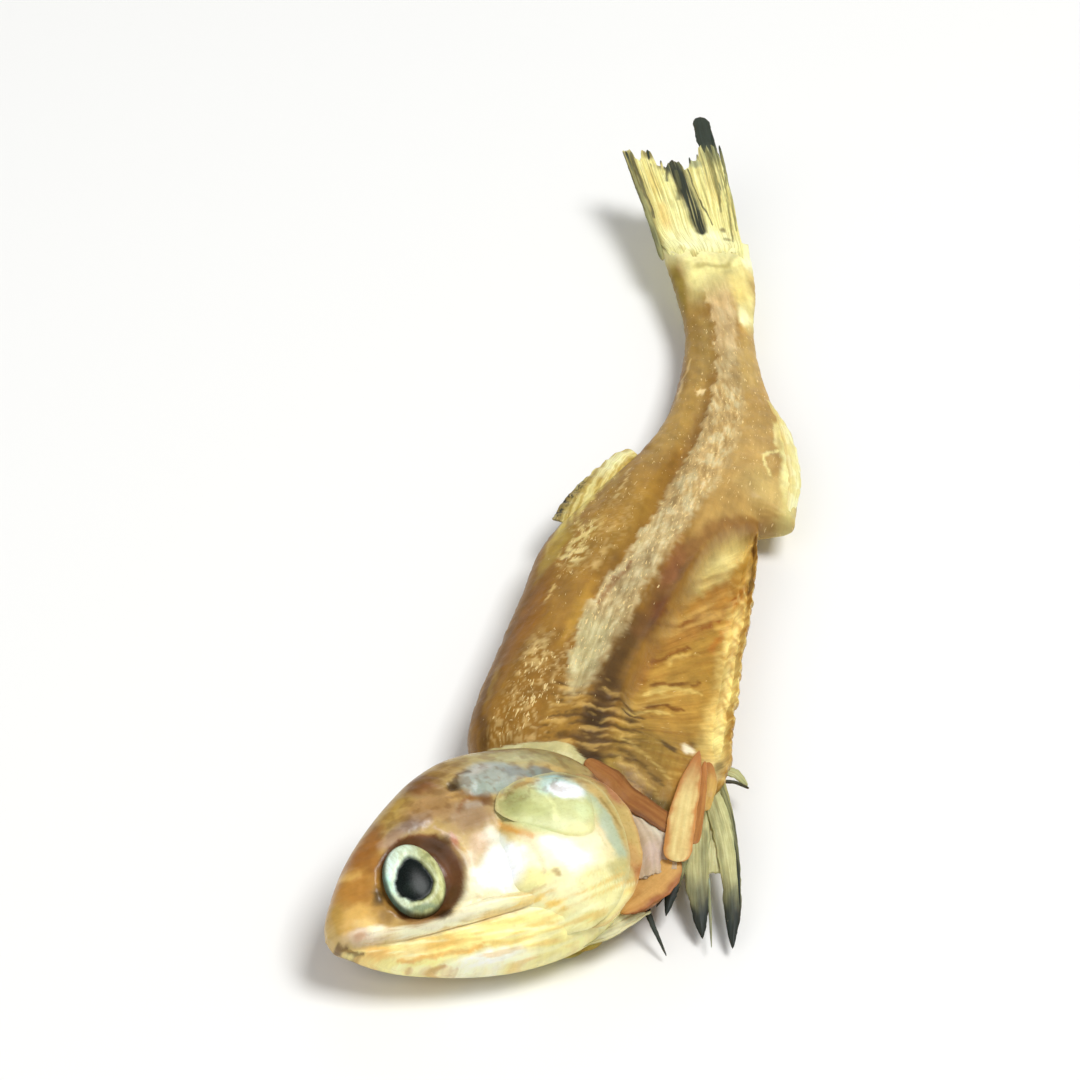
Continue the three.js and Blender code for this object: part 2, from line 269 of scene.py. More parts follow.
@dataclass(frozen=True)
class Stroke:
    """Soft line of colour on a chart."""

    colour: Colour
    points: Places
    width: float
    strength: float = 0.9
    soft: float = 0.8
    taper: float = 0.3

    def mask(self, chart: Chart) -> Array:
        """Where it lies, from 0 to 1."""
        return self.strength * chart.line(self.points, self.width, self.soft, self.taper)


Marks = tuple[Dab | Stroke, ...]


class Paint:
    """Colour and feel of a form's corners. Feel is wetness, share of flecks and strength of the fibres."""

    def __init__(self, count: int, ground: Colour, wet: float = 0.5, flecks: float = 0.0, fibres: float = 0.3) -> None:
        """Starts with one colour all over."""
        self.tint = np.tile(linear(ground), (count, 1))
        self.feel = np.tile(np.array([wet, flecks, fibres]), (count, 1))

    def lay(self, colour: Colour, mask: Amount) -> "Paint":
        """Lays a colour where the mask is 1."""
        share = np.clip(np.broadcast_to(mask, len(self.tint)), 0, 1)[:, None]
        self.tint = mix(self.tint, linear(colour), share)
        return self

    def marks(self, chart: Chart, marks: Marks, within: Amount = 1.0) -> "Paint":
        """Lays dabs and strokes in order, where `within` is 1."""
        for mark in marks:
            self.lay(mark.colour, mark.mask(chart) * within)
        return self

    def shade(self, amount: Array) -> "Paint":
        """Makes the colour lighter or darker by a factor."""
        self.tint = np.clip(self.tint * np.asarray(amount)[:, None], 0, 1)
        return self

    def touch(
        self, mask: Amount, wet: float | None = None, flecks: float | None = None, fibres: float | None = None,
    ) -> "Paint":
        """Changes the feel where the mask is 1."""
        for column, value in enumerate((wet, flecks, fibres)):
            if value is not None:
                share = np.clip(np.broadcast_to(mask, len(self.feel)), 0, 1)
                self.feel[:, column] = mix(self.feel[:, column], value, share)
        return self


@dataclass
class Skin:
    """What a form's corners become: places, paint, and the coordinates of its mottling and of its fibres."""

    points: Array
    paint: Paint
    body: Array
    flow: Array | None = None


# ---- finishes


def fed(tree: Tree, made: bpy.types.Node, inputs: dict) -> bpy.types.Node:
    """Gives a node its inputs, each a value or another node's output."""
    for key, value in inputs.items():
        if isinstance(value, Socket):
            tree.links.new(value, made.inputs[key])
        else:
            made.inputs[key].default_value = value
    return made


def node(tree: Tree, kind: str, settings: dict | None = None, inputs: dict | None = None) -> bpy.types.Node:
    """Adds a shader node.

    Args:
        tree: the material's or group's tree.
        kind: node type, without its leading "ShaderNode".
        settings: its properties.
        inputs: its inputs, each a value or another node's output.

    Returns:
        The node.
    """
    made = tree.nodes.new("ShaderNode" + kind)
    for name, value in (settings or {}).items():
        setattr(made, name, value)
    return fed(tree, made, inputs or {})


def math_node(tree: Tree, operation: str, *values: object) -> Socket:
    """Output of a Math node over up to three values."""
    return node(tree, "Math", {"operation": operation}, dict(enumerate(values))).outputs[0]


def times(tree: Tree, a: object, b: object) -> Socket:
    """Product of two values in a shader."""
    return math_node(tree, "MULTIPLY", a, b)


def plus(tree: Tree, a: object, b: object) -> Socket:
    """Sum of two values in a shader."""
    return math_node(tree, "ADD", a, b)


def ramp(tree: Tree, value: object, low: float, high: float, to_low: float, to_high: float) -> Socket:
    """Output of a clamped, smooth Map Range node."""
    settings = {"interpolation_type": "SMOOTHSTEP"}
    inputs = {"Value": value, "From Min": low, "From Max": high, "To Min": to_low, "To Max": to_high}
    return node(tree, "MapRange", settings, inputs).outputs["Result"]


def blend(tree: Tree, share: object, a: object, b: object, mode: str = "MIX") -> Socket:
    """Output of a colour Mix node."""
    made = node(tree, "Mix", {"data_type": "RGBA", "blend_type": mode}, {0: share, 6: a, 7: b})
    return made.outputs[2]


def cloud_node(tree: Tree, place: object, detail: float, roughness: float, distortion: float) -> Socket:
    """Output of a Noise Texture at scale 1."""
    inputs = {"Vector": place, "Scale": 1.0, "Detail": detail, "Roughness": roughness, "Distortion": distortion}
    return node(tree, "TexNoise", inputs=inputs).outputs["Fac"]


def new_group(name: str, inputs: Sequence[str], outputs: Sequence[str]) -> Tree:
    """Empty node group with a vector first input, number inputs after it and number outputs."""
    group = bpy.data.node_groups.new(name, "ShaderNodeTree")
    for i, label in enumerate(inputs):
        group.interface.new_socket(label, in_out="INPUT", socket_type="NodeSocketFloat" if i else "NodeSocketVector")
    for label in outputs:
        group.interface.new_socket(label, in_out="OUTPUT", socket_type="NodeSocketFloat")
    return group


def group_ends(group: Tree) -> tuple[bpy.types.Node, bpy.types.Node]:
    """The input and output nodes of a group."""
    return group.nodes.new("NodeGroupInput"), group.nodes.new("NodeGroupOutput")


def scaled(tree: Tree, vector: object, x: object, y: object) -> Socket:
    """A vector with its x and y divided by two pitches and its z left as it is."""
    parts = node(tree, "SeparateXYZ", inputs={0: vector}).outputs
    across = math_node(tree, "DIVIDE", parts[0], x)
    along = math_node(tree, "DIVIDE", parts[1], y)
    return node(tree, "CombineXYZ", inputs={0: across, 1: along, 2: parts[2]}).outputs[0]


def mottling_group() -> Tree:
    """Cloudy unevenness of dried tissue: lighter and darker patches round 1."""
    group = new_group("mottling", ("Place", "Pitch", "Depth"), ("Shade", "Height"))
    start, end = group_ends(group)
    place = scaled(group, start.outputs["Place"], start.outputs["Pitch"], start.outputs["Pitch"])
    clouds = cloud_node(group, place, 6.0, 0.62, 0.4)
    centred = math_node(group, "SUBTRACT", clouds, 0.5)
    swing = times(group, centred, start.outputs["Depth"])
    group.links.new(plus(group, swing, 1.0), end.inputs["Shade"])
    group.links.new(clouds, end.inputs["Height"])
    return group


def fibres_group() -> Tree:
    """Fine threads drawn out along the second coordinate."""
    group = new_group("fibres", ("Place", "Pitch", "Length"), ("Threads", "Height"))
    start, end = group_ends(group)
    place = scaled(group, start.outputs["Place"], start.outputs["Pitch"], start.outputs["Length"])
    drawn = cloud_node(group, place, 4.0, 0.6, 0.15)
    group.links.new(ramp(group, drawn, 0.34, 0.66, 0.0, 1.0), end.inputs["Threads"])
    group.links.new(drawn, end.inputs["Height"])
    return group


def flecks_group() -> Tree:
    """Scattered short pale strokes of scale and dried slime."""
    group = new_group("flecks", ("Place", "Pitch", "Length", "Cover"), ("Mask",))
    start, end = group_ends(group)
    place = scaled(group, start.outputs["Place"], start.outputs["Pitch"], start.outputs["Length"])
    drawn = cloud_node(group, place, 2.0, 0.5, 0.5)
    low = math_node(group, "SUBTRACT", 0.75, times(group, start.outputs["Cover"], 0.22))
    strokes = ramp(group, drawn, low, plus(group, low, 0.05), 0.0, 1.0)
    present = math_node(group, "MINIMUM", times(group, start.outputs["Cover"], 20.0), 1.0)
    group.links.new(times(group, strokes, present), end.inputs["Mask"])
    return group


class Effects:
    """The shared node groups, each built once."""

    built: dict[str, Tree] = {}
    makers = {"mottling": mottling_group, "fibres": fibres_group, "flecks": flecks_group}

    @classmethod
    def use(cls, tree: Tree, name: str, **inputs: object) -> bpy.types.Node:
        """Places a shared group in a tree with its own values."""
        if name not in cls.built:
            cls.built[name] = cls.makers[name]()
        made = tree.nodes.new("ShaderNodeGroup")
        made.node_tree = cls.built[name]
        return fed(tree, made, inputs)


@dataclass(frozen=True)
class Tissue:
    """Dried tissue whose colours lie on its corners, with mottling, fibres and flecks over them.

    Attributes:
        roughness: of dry tissue and of wet tissue.
        mottling: size of the clouds in millimetres, and how strong they are.
        fibres: how far apart the threads are, and how long.
        relief_mm: heights of the clouds, the threads and the flecks.
    """

    name: str
    roughness: Pair = (0.66, 0.34)
    specular: float = 0.2
    subsurface: float = 0.16
    scatter_mm: float = 0.5
    coat: float = 0.06
    mottling: Pair = (0.9, 0.42)
    fibres: Pair = (0.26, 2.4)
    fibre_depth: float = 0.3
    fleck_size: Pair = (0.11, 0.42)
    fleck_colour: Colour = (240, 214, 150)
    bump: float = 0.5
    relief_mm: Triple = (0.05, 0.04, 0.05)
    scatter_radii: Triple = (1.0, 0.6, 0.3)
    coat_roughness: float = 0.2
    grain_share: float = 0.18

    def _shade(self, tree: Tree, body: object, flow: object, fibres: object) -> tuple[object, object, object, object]:
        """Light and dark of the tissue, with the heights of its clouds, grain and threads."""
        pitch, depth = self.mottling
        clouds = Effects.use(tree, "mottling", Place=body, Pitch=pitch, Depth=depth)
        grain = Effects.use(tree, "mottling", Place=body, Pitch=pitch * self.grain_share, Depth=depth * 0.7)
        threads = Effects.use(tree, "fibres", Place=flow, Pitch=self.fibres[0], Length=self.fibres[1])
        shade = times(tree, clouds.outputs["Shade"], grain.outputs["Shade"])
        drawn = math_node(tree, "SUBTRACT", threads.outputs["Threads"], 0.5)
        drawn = times(tree, drawn, times(tree, fibres, self.fibre_depth * 2))
        shade = times(tree, shade, plus(tree, drawn, 1.0))
        return shade, clouds.outputs["Height"], grain.outputs["Height"], threads.outputs["Height"]

    def material(self) -> bpy.types.Material:
        """Builds the material, or finds it if it is there.

        Returns:
            A node material that reads the attributes tint, feel, body and flow.
        """
        if self.name in bpy.data.materials:
            return bpy.data.materials[self.name]
        made = bpy.data.materials.new(self.name)
        made.use_nodes = True
        tree = made.node_tree
        tree.nodes.clear()
        names = ("tint", "feel", "body", "flow")
        tint, feel, body, flow = (node(tree, "Attribute", {"attribute_name": name}) for name in names)
        wet, cover, fibres = node(tree, "SeparateXYZ", inputs={0: feel.outputs["Vector"]}).outputs
        shade, clouds, grain, threads = self._shade(tree, body.outputs["Vector"], flow.outputs["Vector"], fibres)

        warm = math_node(tree, "POWER", shade, 0.85)
        deep = math_node(tree, "POWER", shade, 1.35)
        tone = node(tree, "CombineXYZ", inputs={0: warm, 1: shade, 2: deep}).outputs[0]
        colour = blend(tree, 1.0, tint.outputs["Color"], tone, "MULTIPLY")
        size, length = self.fleck_size
        flecks = Effects.use(tree, "flecks", Place=flow.outputs["Vector"], Pitch=size, Length=length, Cover=cover)
        crumbs = flecks.outputs["Mask"]
        colour = blend(tree, times(tree, crumbs, 0.75), colour, (*linear(self.fleck_colour), 1.0))

        dull = ramp(tree, wet, 0.0, 1.0, *self.roughness)
        uneven = times(tree, math_node(tree, "SUBTRACT", grain, 0.5), 0.35)
        height = times(tree, clouds, self.relief_mm[0])
        lines = times(tree, times(tree, threads, fibres), self.relief_mm[1] * 2)
        height = plus(tree, height, lines)
        height = plus(tree, height, times(tree, crumbs, self.relief_mm[2]))
        height = plus(tree, height, times(tree, grain, self.relief_mm[0] * 0.7))
        bump = node(tree, "Bump", inputs={"Strength": self.bump, "Distance": MM, "Height": height})
        values = {
            "Base Color": colour,
            "Roughness": plus(tree, dull, uneven),
            "Normal": bump.outputs[0],
            "Specular IOR Level": self.specular,
            "Subsurface Weight": self.subsurface,
            "Subsurface Radius": self.scatter_radii,
            "Subsurface Scale": self.scatter_mm * MM,
            "Coat Weight": ramp(tree, wet, 0.0, 1.0, self.coat * 0.3, self.coat),
            "Coat Roughness": self.coat_roughness,
        }
        shader = node(tree, "BsdfPrincipled", inputs=values)
        output = node(tree, "OutputMaterial", inputs={"Surface": shader.outputs[0]})
        output.is_active_output = True
        return made


FLESH = Tissue("waxy_flesh")
SKULL = Tissue(
    "pearly_skull", roughness=(0.55, 0.3), specular=0.26, coat=0.12, mottling=(0.9, 0.3), fibres=(0.24, 1.8),
    fibre_depth=0.1, fleck_size=(0.2, 0.4), relief_mm=(0.03, 0.025, 0.03), bump=0.4,
)
FIN = Tissue(
    "dry_fin_rays", roughness=(0.7, 0.45), subsurface=0.2, mottling=(0.8, 0.34), fibres=(0.1, 2.4), fibre_depth=0.22,
    relief_mm=(0.02, 0.04, 0.03),
)
BONE = Tissue(
    "shoulder_bone", roughness=(0.58, 0.36), mottling=(0.7, 0.4), fibres=(0.22, 2.4), fibre_depth=0.2,
    relief_mm=(0.04, 0.02, 0.03),
)
EYE = Tissue(
    "glassy_eye", roughness=(0.45, 0.22), specular=0.1, coat=0.05, subsurface=0.05, mottling=(0.5, 0.42),
    fibres=(0.2, 0.5), relief_mm=(0.015, 0.01, 0.01), bump=0.25,
)


# ---- forms


class Modelling:
    """One piece in the making: forms are added to it, each with its own paint."""

    def __init__(self, name: str) -> None:
        """Starts an empty piece."""
        self.name = name
        self.bm = bmesh.new()
        layers = self.bm.verts.layers
        self.tint = layers.float_color.new("tint")
        self.feel, self.body, self.flow = (layers.float_vector.new(name) for name in ("feel", "body", "flow"))

    def _settle(self, corners: list, skin: Skin) -> None:
        """Moves a new form's corners to their places and lays their paint."""
        flow = skin.body if skin.flow is None else skin.flow
        parts = (skin.points, skin.paint.tint, skin.paint.feel, skin.body, flow)
        for corner, point, tint, feel, body, along in zip(corners, *(part.tolist() for part in parts)):
            corner.co = point
            corner[self.tint] = (*tint, 1.0)
            corner[self.feel] = feel
            corner[self.body] = body
            corner[self.flow] = along

    def round(self, sides: int, rings: int, surface: Callable[[Array, Array, Array], Skin]) -> "Modelling":
        """Adds a closed form with a pole at each end.

        Args:
            sides: faces round it.
            rings: faces from pole to pole.
            surface: gives the skin for how far along each corner is, from 0 to 1, and its place on the unit circle.

        Returns:
            This piece.
        """
        corners = bmesh.ops.create_uvsphere(self.bm, u_segments=sides, v_segments=rings, radius=1)["verts"]
        unit = np.array([v.co[:] for v in corners])
        along = np.arccos(np.clip(-unit[:, 2], -1, 1)) / math.pi
        ring = np.hypot(unit[:, 0], unit[:, 1])
        pole = ring < POLE_REACH
        reach = np.where(pole, 1.0, ring)
        across = np.where(pole, 0.0, unit[:, 0] / reach)
        out = np.where(pole, 0.0, unit[:, 1] / reach)
        self._settle(corners, surface(along, across, out))
        faces = list({face for corner in corners for face in corner.link_faces})
        bmesh.ops.recalc_face_normals(self.bm, faces=faces)
        return self

    def sheet(self, columns: int, rows: int, surface: Callable[[Array, Array], Skin]) -> "Modelling":
        """Adds an open sheet.

        Args:
            columns: faces across it.
            rows: faces along it.
            surface: gives the skin for the places across and along, from 0 to 1.

        Returns:
            This piece.
        """
        corners = bmesh.ops.create_grid(self.bm, x_segments=columns, y_segments=rows, size=1)["verts"]
        unit = np.array([v.co[:] for v in corners])
        self._settle(corners, surface((unit[:, 0] + 1) / 2, (unit[:, 1] + 1) / 2))
        return self

    def done(self, finish: Tissue, slot: str, thickness: float | None = None) -> Piece:
        """Makes the piece an object in the row frame, riding on the fish.

        Args:
            finish: what it is made of.
            slot: the record's material slot; not used.
            thickness: millimetres that a sheet gets, or None for closed forms.

        Returns:
            The object.
        """
        mesh = bpy.data.meshes.new(self.name)
        for corner in self.bm.verts:
            corner.co = (corner.co - Vector(FOOTPRINT_CENTRE)) * MM
        self.bm.to_mesh(mesh)
        self.bm.free()
        mesh.polygons.foreach_set("use_smooth", np.ones(len(mesh.polygons), bool))
        made = bpy.data.objects.new(self.name, mesh)
        bpy.context.scene.collection.objects.link(made)
        mesh.materials.append(finish.material())
        if thickness:
            wall = made.modifiers.new("thickness", "SOLIDIFY")
            wall.thickness, wall.offset, wall.use_even_offset = thickness * MM, 0.0, False
        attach(made, BODY)
        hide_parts(NODE)
        log.info("%s: %d faces", self.name, len(mesh.polygons))
        return made


def on_floor(points: Array, gap: float = 0.02) -> Array:
    """Keeps points above the floor."""
    points[:, 2] = np.maximum(points[:, 2], gap)
    return points


def columns(*parts: Amount) -> Array:
    """Stacks coordinates side by side."""
    return np.stack(np.broadcast_arrays(*parts), -1).astype(float)


# ---- trunk


@dataclass
class Trunk:
    """Flesh from the neck to the root of the tail: back, silver stripe, sunken belly and keel."""

    sides: int = 260
    rings: int = 340
    length: float = 53.7
    vent: float = 28.0
    axis_points: int = 3600
    pocket_depth: float = 1.25
    stripe_height: float = 0.08
    film_height: float = 0.16
    squareness: float = 0.82
    ground: Colour = (140, 100, 34)
    wall_colour: Colour = (168, 128, 52)
    silver: Colour = (186, 164, 114)
    film_colour: Colour = (196, 188, 132)
    root_colour: Colour = (238, 228, 152)
    keel_thinning: float = 0.45
    hidden_relief: float = 0.6
    axis: Places = (
        (3.9, 4.4, 3.2), (6.2, 10.2, 2.9), (9.7, 18.6, 2.7), (13.6, 27.5, 2.5), (16.8, 36.6, 2.2), (18.5, 46.5, 2.2),
        (18.5, 55.6, 3.0),
    )
    back_depths: Stations = (
        (0, 3.2), (3, 5.5), (6.2, 6.2), (11, 6.4), (15.3, 6.6), (20, 6.9), (25, 5.9), (29.6, 4.3), (34.7, 3.2),
        (39.7, 2.6), (44.8, 2.2), (49.8, 2.5), (53.7, 2.9),
    )
    belly_depths: Stations = ((0, 4), (3, 6.8), (6.2, 7.8), (11, 7), (15.3, 6.3), (20, 5.5), (28, 3.9))
    muscle_depths: Stations = (
        (28, 6), (31.1, 5.5), (33.8, 4.8), (36.3, 4.1), (38.8, 3), (42.5, 2.2), (45.5, 2.1), (49.3, 2.7), (53.7, 2.9),
    )
    upper_thicknesses: Stations = (
        (0, 1.9), (6, 2.7), (15, 2.8), (25, 2.7), (30, 2.4), (35, 1.9), (40, 1.5), (45, 1.2), (51, 0.9), (53.7, 0.3),
    )
    lower_thicknesses: Stations = (
        (0, 2), (6, 2.9), (15, 2.8), (25, 2.6), (30, 2.3), (35, 1.8), (40, 1.4), (45, 1.1), (51, 0.8), (53.7, 0.3),
    )
    stripe_top: Stations = (
        (5, -1.1), (7.5, -1.7), (9, -2.0), (12, -2.3), (15, -2.3), (18, -1.8), (20, -1.6), (24, -1.3), (28, -1.1),
        (32, -0.8), (36, -0.65), (40, -0.55), (44, -0.6), (48, -0.9), (51, -1.4), (54, -1.6),
    )
    stripe_bottom: Stations = (
        (5, -0.6), (8, -0.4), (11, -0.25), (14, 0.0), (17, 0.15), (20, 0.3), (24, 0.8), (28, 1.25), (32, 1.3),
        (36, 1.3), (40, 1.0), (44, 0.8), (48, 0.9), (54, 0.9),
    )
    arch: Stations = (
        (4, 1.4), (8, 1.5), (12, 1.45), (16, 1.75), (20, 2.0), (23, 2.5), (25, 3.2), (26.5, 4.0), (27.6, 4.7),
        (29, 6),
    )
    film_edge: Stations = ((-6.5, 1.9), (-4, 2.1), (-2, 2.6), (-0.5, 3.0), (0.8, 2.4), (1.6, 1.5), (3, 0.6))
    back_marks: Marks = (
        # dark band along the back's edge: painted shade where the back rounds away from the light
        Dab((112, 74, 20), (9.5, -6.1), (8.0, 0.8), -2, 0.8),
        Dab((88, 58, 16), (3.6, -5.2), (1.8, 0.5), -24, 0.7),
        Dab((158, 124, 52), (7.0, -5.75), (1.9, 0.28), -6, 0.7),
        Dab((136, 88, 24), (12.5, -5.4), (4.5, 0.8), -2, 0.7),
        Dab((158, 116, 42), (13.8, -3.6), (3.6, 1.0), 0, 0.8),
        Dab((184, 140, 50), (12.8, -2.7), (3.2, 0.4), 0, 0.8),
        Dab((160, 122, 46), (22.0, -3.2), (6.0, 1.8), 4, 0.8),
        Dab((170, 144, 56), (18.6, -5.9), (2.6, 0.7), 4, 0.7),
        Dab((198, 176, 84), (22.6, -6.2), (3.8, 0.75), 9, 0.9),
        Dab((212, 192, 102), (25.4, -5.5), (2.8, 0.5), 14, 0.85),
        Dab((168, 130, 44), (25.0, -4.6), (3.2, 0.4), 10, 0.7),
        Dab((170, 136, 68), (33.5, -2.3), (7.5, 1.3), 8, 0.9),
        Dab((168, 138, 72), (42.6, -1.5), (5.0, 1.1), 0, 0.8),
        Dab((148, 112, 48), (43.0, -1.75), (4.5, 0.4), 0, 0.4),
        Stroke((216, 186, 124), ((36.4, -2.6), (38.2, -2.62), (39.8, -2.3), (41.2, -2.1)), 0.3, 0.6),
    )
    front_marks: Marks = (
        Dab((144, 112, 54), (2.4, 3.8), (2.4, 2.2), 0, 0.8),
        # crumpled skin behind the gill opening: the dark strokes are painted shade in its furrows, between paler ridges
        Stroke((196, 166, 92), ((4.6, 2.2), (3.6, 5.2)), 0.34, 0.7),
        Stroke((88, 64, 26), ((3.9, 2.2), (3.0, 5.0)), 0.3, 0.7),
        Stroke((190, 158, 86), ((3.2, 2.2), (2.3, 5.0)), 0.3, 0.7),
        Stroke((92, 68, 30), ((2.6, 2.4), (1.7, 5.0)), 0.34, 0.7),
        # dark patch: painted shade in the pit beside the shoulder bars
        Dab((84, 66, 30), (1.6, 5.0), (0.7, 1.0), 0, 0.8),
        Dab((150, 112, 42), (5.4, -1.0), (2.8, 1.3), 0, 0.8),
        Dab((150, 104, 46), (1.3, 3.3), (0.8, 2.0), 6, 0.8),
        Dab((160, 130, 52), (2.4, 1.9), (0.7, 1.0), 0, 0.8),
        Stroke((164, 112, 50), ((2.2, 5.8), (4.6, 5.9), (6.3, 6.0)), 0.7, 0.7),
        Dab((220, 198, 132), (6.0, 6.9), (3.0, 0.7), 4, 0.8),
        Dab((80, 58, 24), (6.0, 4.6), (0.32, 0.6)),
        Dab((248, 234, 198), (6.9, 5.45), (0.5, 0.4), 0, 0.95),
        Dab((96, 62, 24), (7.7, 5.6), (0.4, 0.35)),
        Dab((108, 86, 36), (2.1, 5.3), (0.4, 0.4)),
        Dab((120, 100, 48), (7.0, 7.1), (0.8, 0.25), -8, 0.8),
    )
    wall_marks: Marks = (
        Dab((140, 110, 44), (4.4, 3.0), (3.2, 2.2), 20, 0.85),
        Dab((182, 140, 62), (9.6, 3.6), (3.2, 2.0), 0, 0.6),
        Dab((156, 104, 38), (10.5, 1.65), (2.6, 0.42), 4, 0.8),
        Dab((172, 120, 48), (19.0, 3.4), (3.8, 0.95), 8, 0.8),
        Dab((164, 114, 50), (15.4, 2.7), (3.2, 0.8), 18, 0.6),
        Stroke((226, 192, 106), ((6.8, 1.6), (8.0, 2.7), (9.0, 4.0)), 0.34, 0.8, 0.8, 0.5),
        Stroke((226, 196, 110), ((9.4, 2.4), (10.6, 3.2), (11.8, 4.8)), 0.4, 0.8, 0.8, 0.5),
        Stroke((220, 186, 98), ((12.4, 2.6), (13.6, 3.2), (14.6, 4.0)), 0.34, 0.8, 0.8, 0.5),
        Stroke((116, 70, 20), ((10.2, 2.4), (11.4, 3.6), (12.6, 4.7)), 0.34),
        Stroke((116, 70, 20), ((8.4, 2.6), (9.2, 3.4), (9.8, 4.3)), 0.34),
        Stroke((126, 74, 22), ((11.6, 1.9), (13.0, 2.5), (14.6, 3.4)), 0.3),
        Stroke((138, 82, 26), ((15.6, 2.5), (17.0, 3.0), (18.6, 3.8)), 0.26),
        Stroke((150, 90, 32), ((16.6, 3.5), (18.6, 4.1), (21.0, 4.4)), 0.24),
        Dab((206, 182, 108), (22.2, 2.85), (4.4, 0.8), 11, 0.95, 0.45),
        Dab((222, 204, 130), (23.6, 3.15), (2.6, 0.5), 14, 0.7),
        Stroke((112, 76, 34), ((21.6, 4.9), (24.0, 4.55), (26.0, 4.15), (27.2, 4.0)), 0.34),
        Stroke((174, 108, 38), ((15.5, 4.4), (18.5, 4.6), (22.0, 4.5)), 0.4, 0.7),
    )
    keel_marks: Marks = (
        Stroke((220, 192, 112), ((8.0, 6.4), (12.0, 6.1), (16.0, 5.5), (20.0, 4.9)), 1.7, 0.85, 0.9, 0.4),
        # the two pale dabs are painted highlights on the keel's edge
        Dab((246, 230, 146), (9.4, 6.6), (1.3, 0.45), -8, 0.8),
        Dab((246, 224, 138), (13.4, 6.2), (1.6, 0.35), -10, 0.7),
    )
    # dark band under the stripe: partly the dark lining's own colour, partly painted shade in the hollow and under the
    # arch's rim
    valley_marks: Marks = (
        Stroke((94, 67, 30), ((2.5, 0.9), (6.0, 0.6), (10.0, 0.3), (14.0, 0.6)), 1.8, 0.92, 0.8, 0.2),
        Stroke((112, 76, 36), ((13.0, 0.95), (17.0, 1.05), (21.0, 1.3)), 1.3, 0.85, 0.8, 0.0),
        Stroke((140, 98, 46), ((20.0, 1.2), (22.5, 1.75), (24.2, 2.4), (26.0, 3.4), (27.2, 4.2)), 0.9, 0.85, 0.8, 0.1),
        Dab((66, 46, 16), (5.5, 0.5), (1.0, 0.8)),
        Dab((80, 56, 24), (8.6, 0.35), (2.8, 0.45), 0, 0.7),
        Dab((62, 44, 16), (2.6, 1.2), (0.5, 0.8), 10),
        Dab((78, 54, 20), (6.7, 2.1), (0.45, 0.5)),
        Dab((94, 68, 30), (3.8, 0.9), (0.9, 1.0), 0, 0.7),
        Dab((106, 58, 22), (15.4, 1.3), (1.4, 0.42), 0, 0.7),
        Dab((146, 92, 58), (19.0, 0.9), (2.0, 0.5), 0, 0.5),
    )
    rear_marks: Marks = (
        Dab((188, 154, 90), (31.5, 2.4), (5.2, 1.6)),
        Dab((202, 176, 108), (29.0, 4.0), (1.6, 1.7), 0, 0.7),
        Stroke((228, 214, 138), ((28.2, 5.5), (30.0, 5.0), (33.0, 4.5), (36.0, 3.7)), 1.3),
        Dab((242, 234, 162), (32.0, 4.6), (2.6, 0.45), -6),
        Stroke((236, 220, 146), ((30.3, 3.9), (30.7, 3.3), (31.6, 3.05), (32.5, 3.3), (33.2, 3.9)), 0.28, 0.9, 0.6),
        Stroke((234, 218, 146), ((33.6, 3.7), (35.5, 3.45), (37.4, 3.4)), 0.36, 0.8),
        Dab((192, 160, 92), (41.0, 1.5), (3.6, 0.9), 4),
        Dab((242, 228, 150), (47.2, 1.75), (2.6, 0.8), 0, 0.95),
        Dab((254, 250, 188), (45.7, 1.4), (0.8, 0.5)),
        Dab((232, 208, 124), (48.6, 1.4), (2.2, 0.8), 10),
    )
    root_marks: Marks = (
        Dab((150, 128, 54), (49.8, -2.3), (3.8, 0.38), -3),
        Stroke((176, 160, 88), ((50.4, -0.7), (50.5, 0.8), (51.5, 1.5), (52.6, 1.9)), 0.7, 0.75, 0.9),
        Dab((254, 254, 206), (52.2, 2.6), (1.7, 0.55)),
    )
    scale_marks: Marks = (
        Dab((232, 212, 142), (17.8, -4.5), (1.2, 0.85), -10, 0.8),
        Dab((226, 206, 132), (19.9, -4.5), (1.5, 0.6), 16, 0.8),
        Dab((216, 196, 126), (20.6, -5.2), (0.8, 0.4), 0, 0.6),
        Dab((214, 186, 120), (9.2, -3.8), (1.5, 0.7), -18, 0.6),
        Stroke((216, 186, 116), ((13.6, -4.75), (15.9, -4.8)), 0.3, 0.7),
        Stroke((222, 196, 130), ((23.5, -3.85), (25.2, -3.8), (27.2, -3.95)), 0.26, 0.75),
        Stroke((210, 180, 112), ((16.6, -3.0), (18.6, -2.9), (20.6, -3.2)), 0.5, 0.5),
        Dab((226, 200, 142), (37.3, -1.3), (0.45, 0.35)),
    )

    def __post_init__(self) -> None:
        """Turns the sizes into curves, and the axis into equal steps."""
        self.back, self.belly = through(self.back_depths), through(self.belly_depths)
        self.muscle = through(self.muscle_depths)
        self.upper, self.lower = through(self.upper_thicknesses), through(self.lower_thicknesses)
        self.top_edge, self.bottom_edge = through(self.stripe_top), through(self.stripe_bottom)
        self.arch_line, self.film_line = through(self.arch), through(self.film_edge)
        self.steps = self._axis_steps()

    def _axis_steps(self) -> Array:
        """Points in equal steps on the centripetal curve through the axis points."""
        given = np.asarray(self.axis, float)
        given = np.vstack([2 * given[0] - given[1], given, 2 * given[-1] - given[-2]])
        runs = []
        for p0, p1, p2, p3 in zip(given, given[1:], given[2:], given[3:]):
            d0, d1, d2 = (math.sqrt(np.linalg.norm(b - a)) for a, b in ((p0, p1), (p1, p2), (p2, p3)))
            m1 = ((p1 - p0) / d0 - (p2 - p0) / (d0 + d1) + (p2 - p1) / d1) * d1
            m2 = ((p2 - p1) / d1 - (p3 - p1) / (d1 + d2) + (p3 - p2) / d2) * d1
            t = np.linspace(0, 1, self.axis_points // (len(given) - 3), endpoint=False)[:, None]
            runs.append(p1 + m1 * t + (3 * (p2 - p1) - 2 * m1 - m2) * t**2 + (2 * (p1 - p2) + m1 + m2) * t**3)
        return evened(np.vstack([*runs, given[-2]]), self.axis_points)

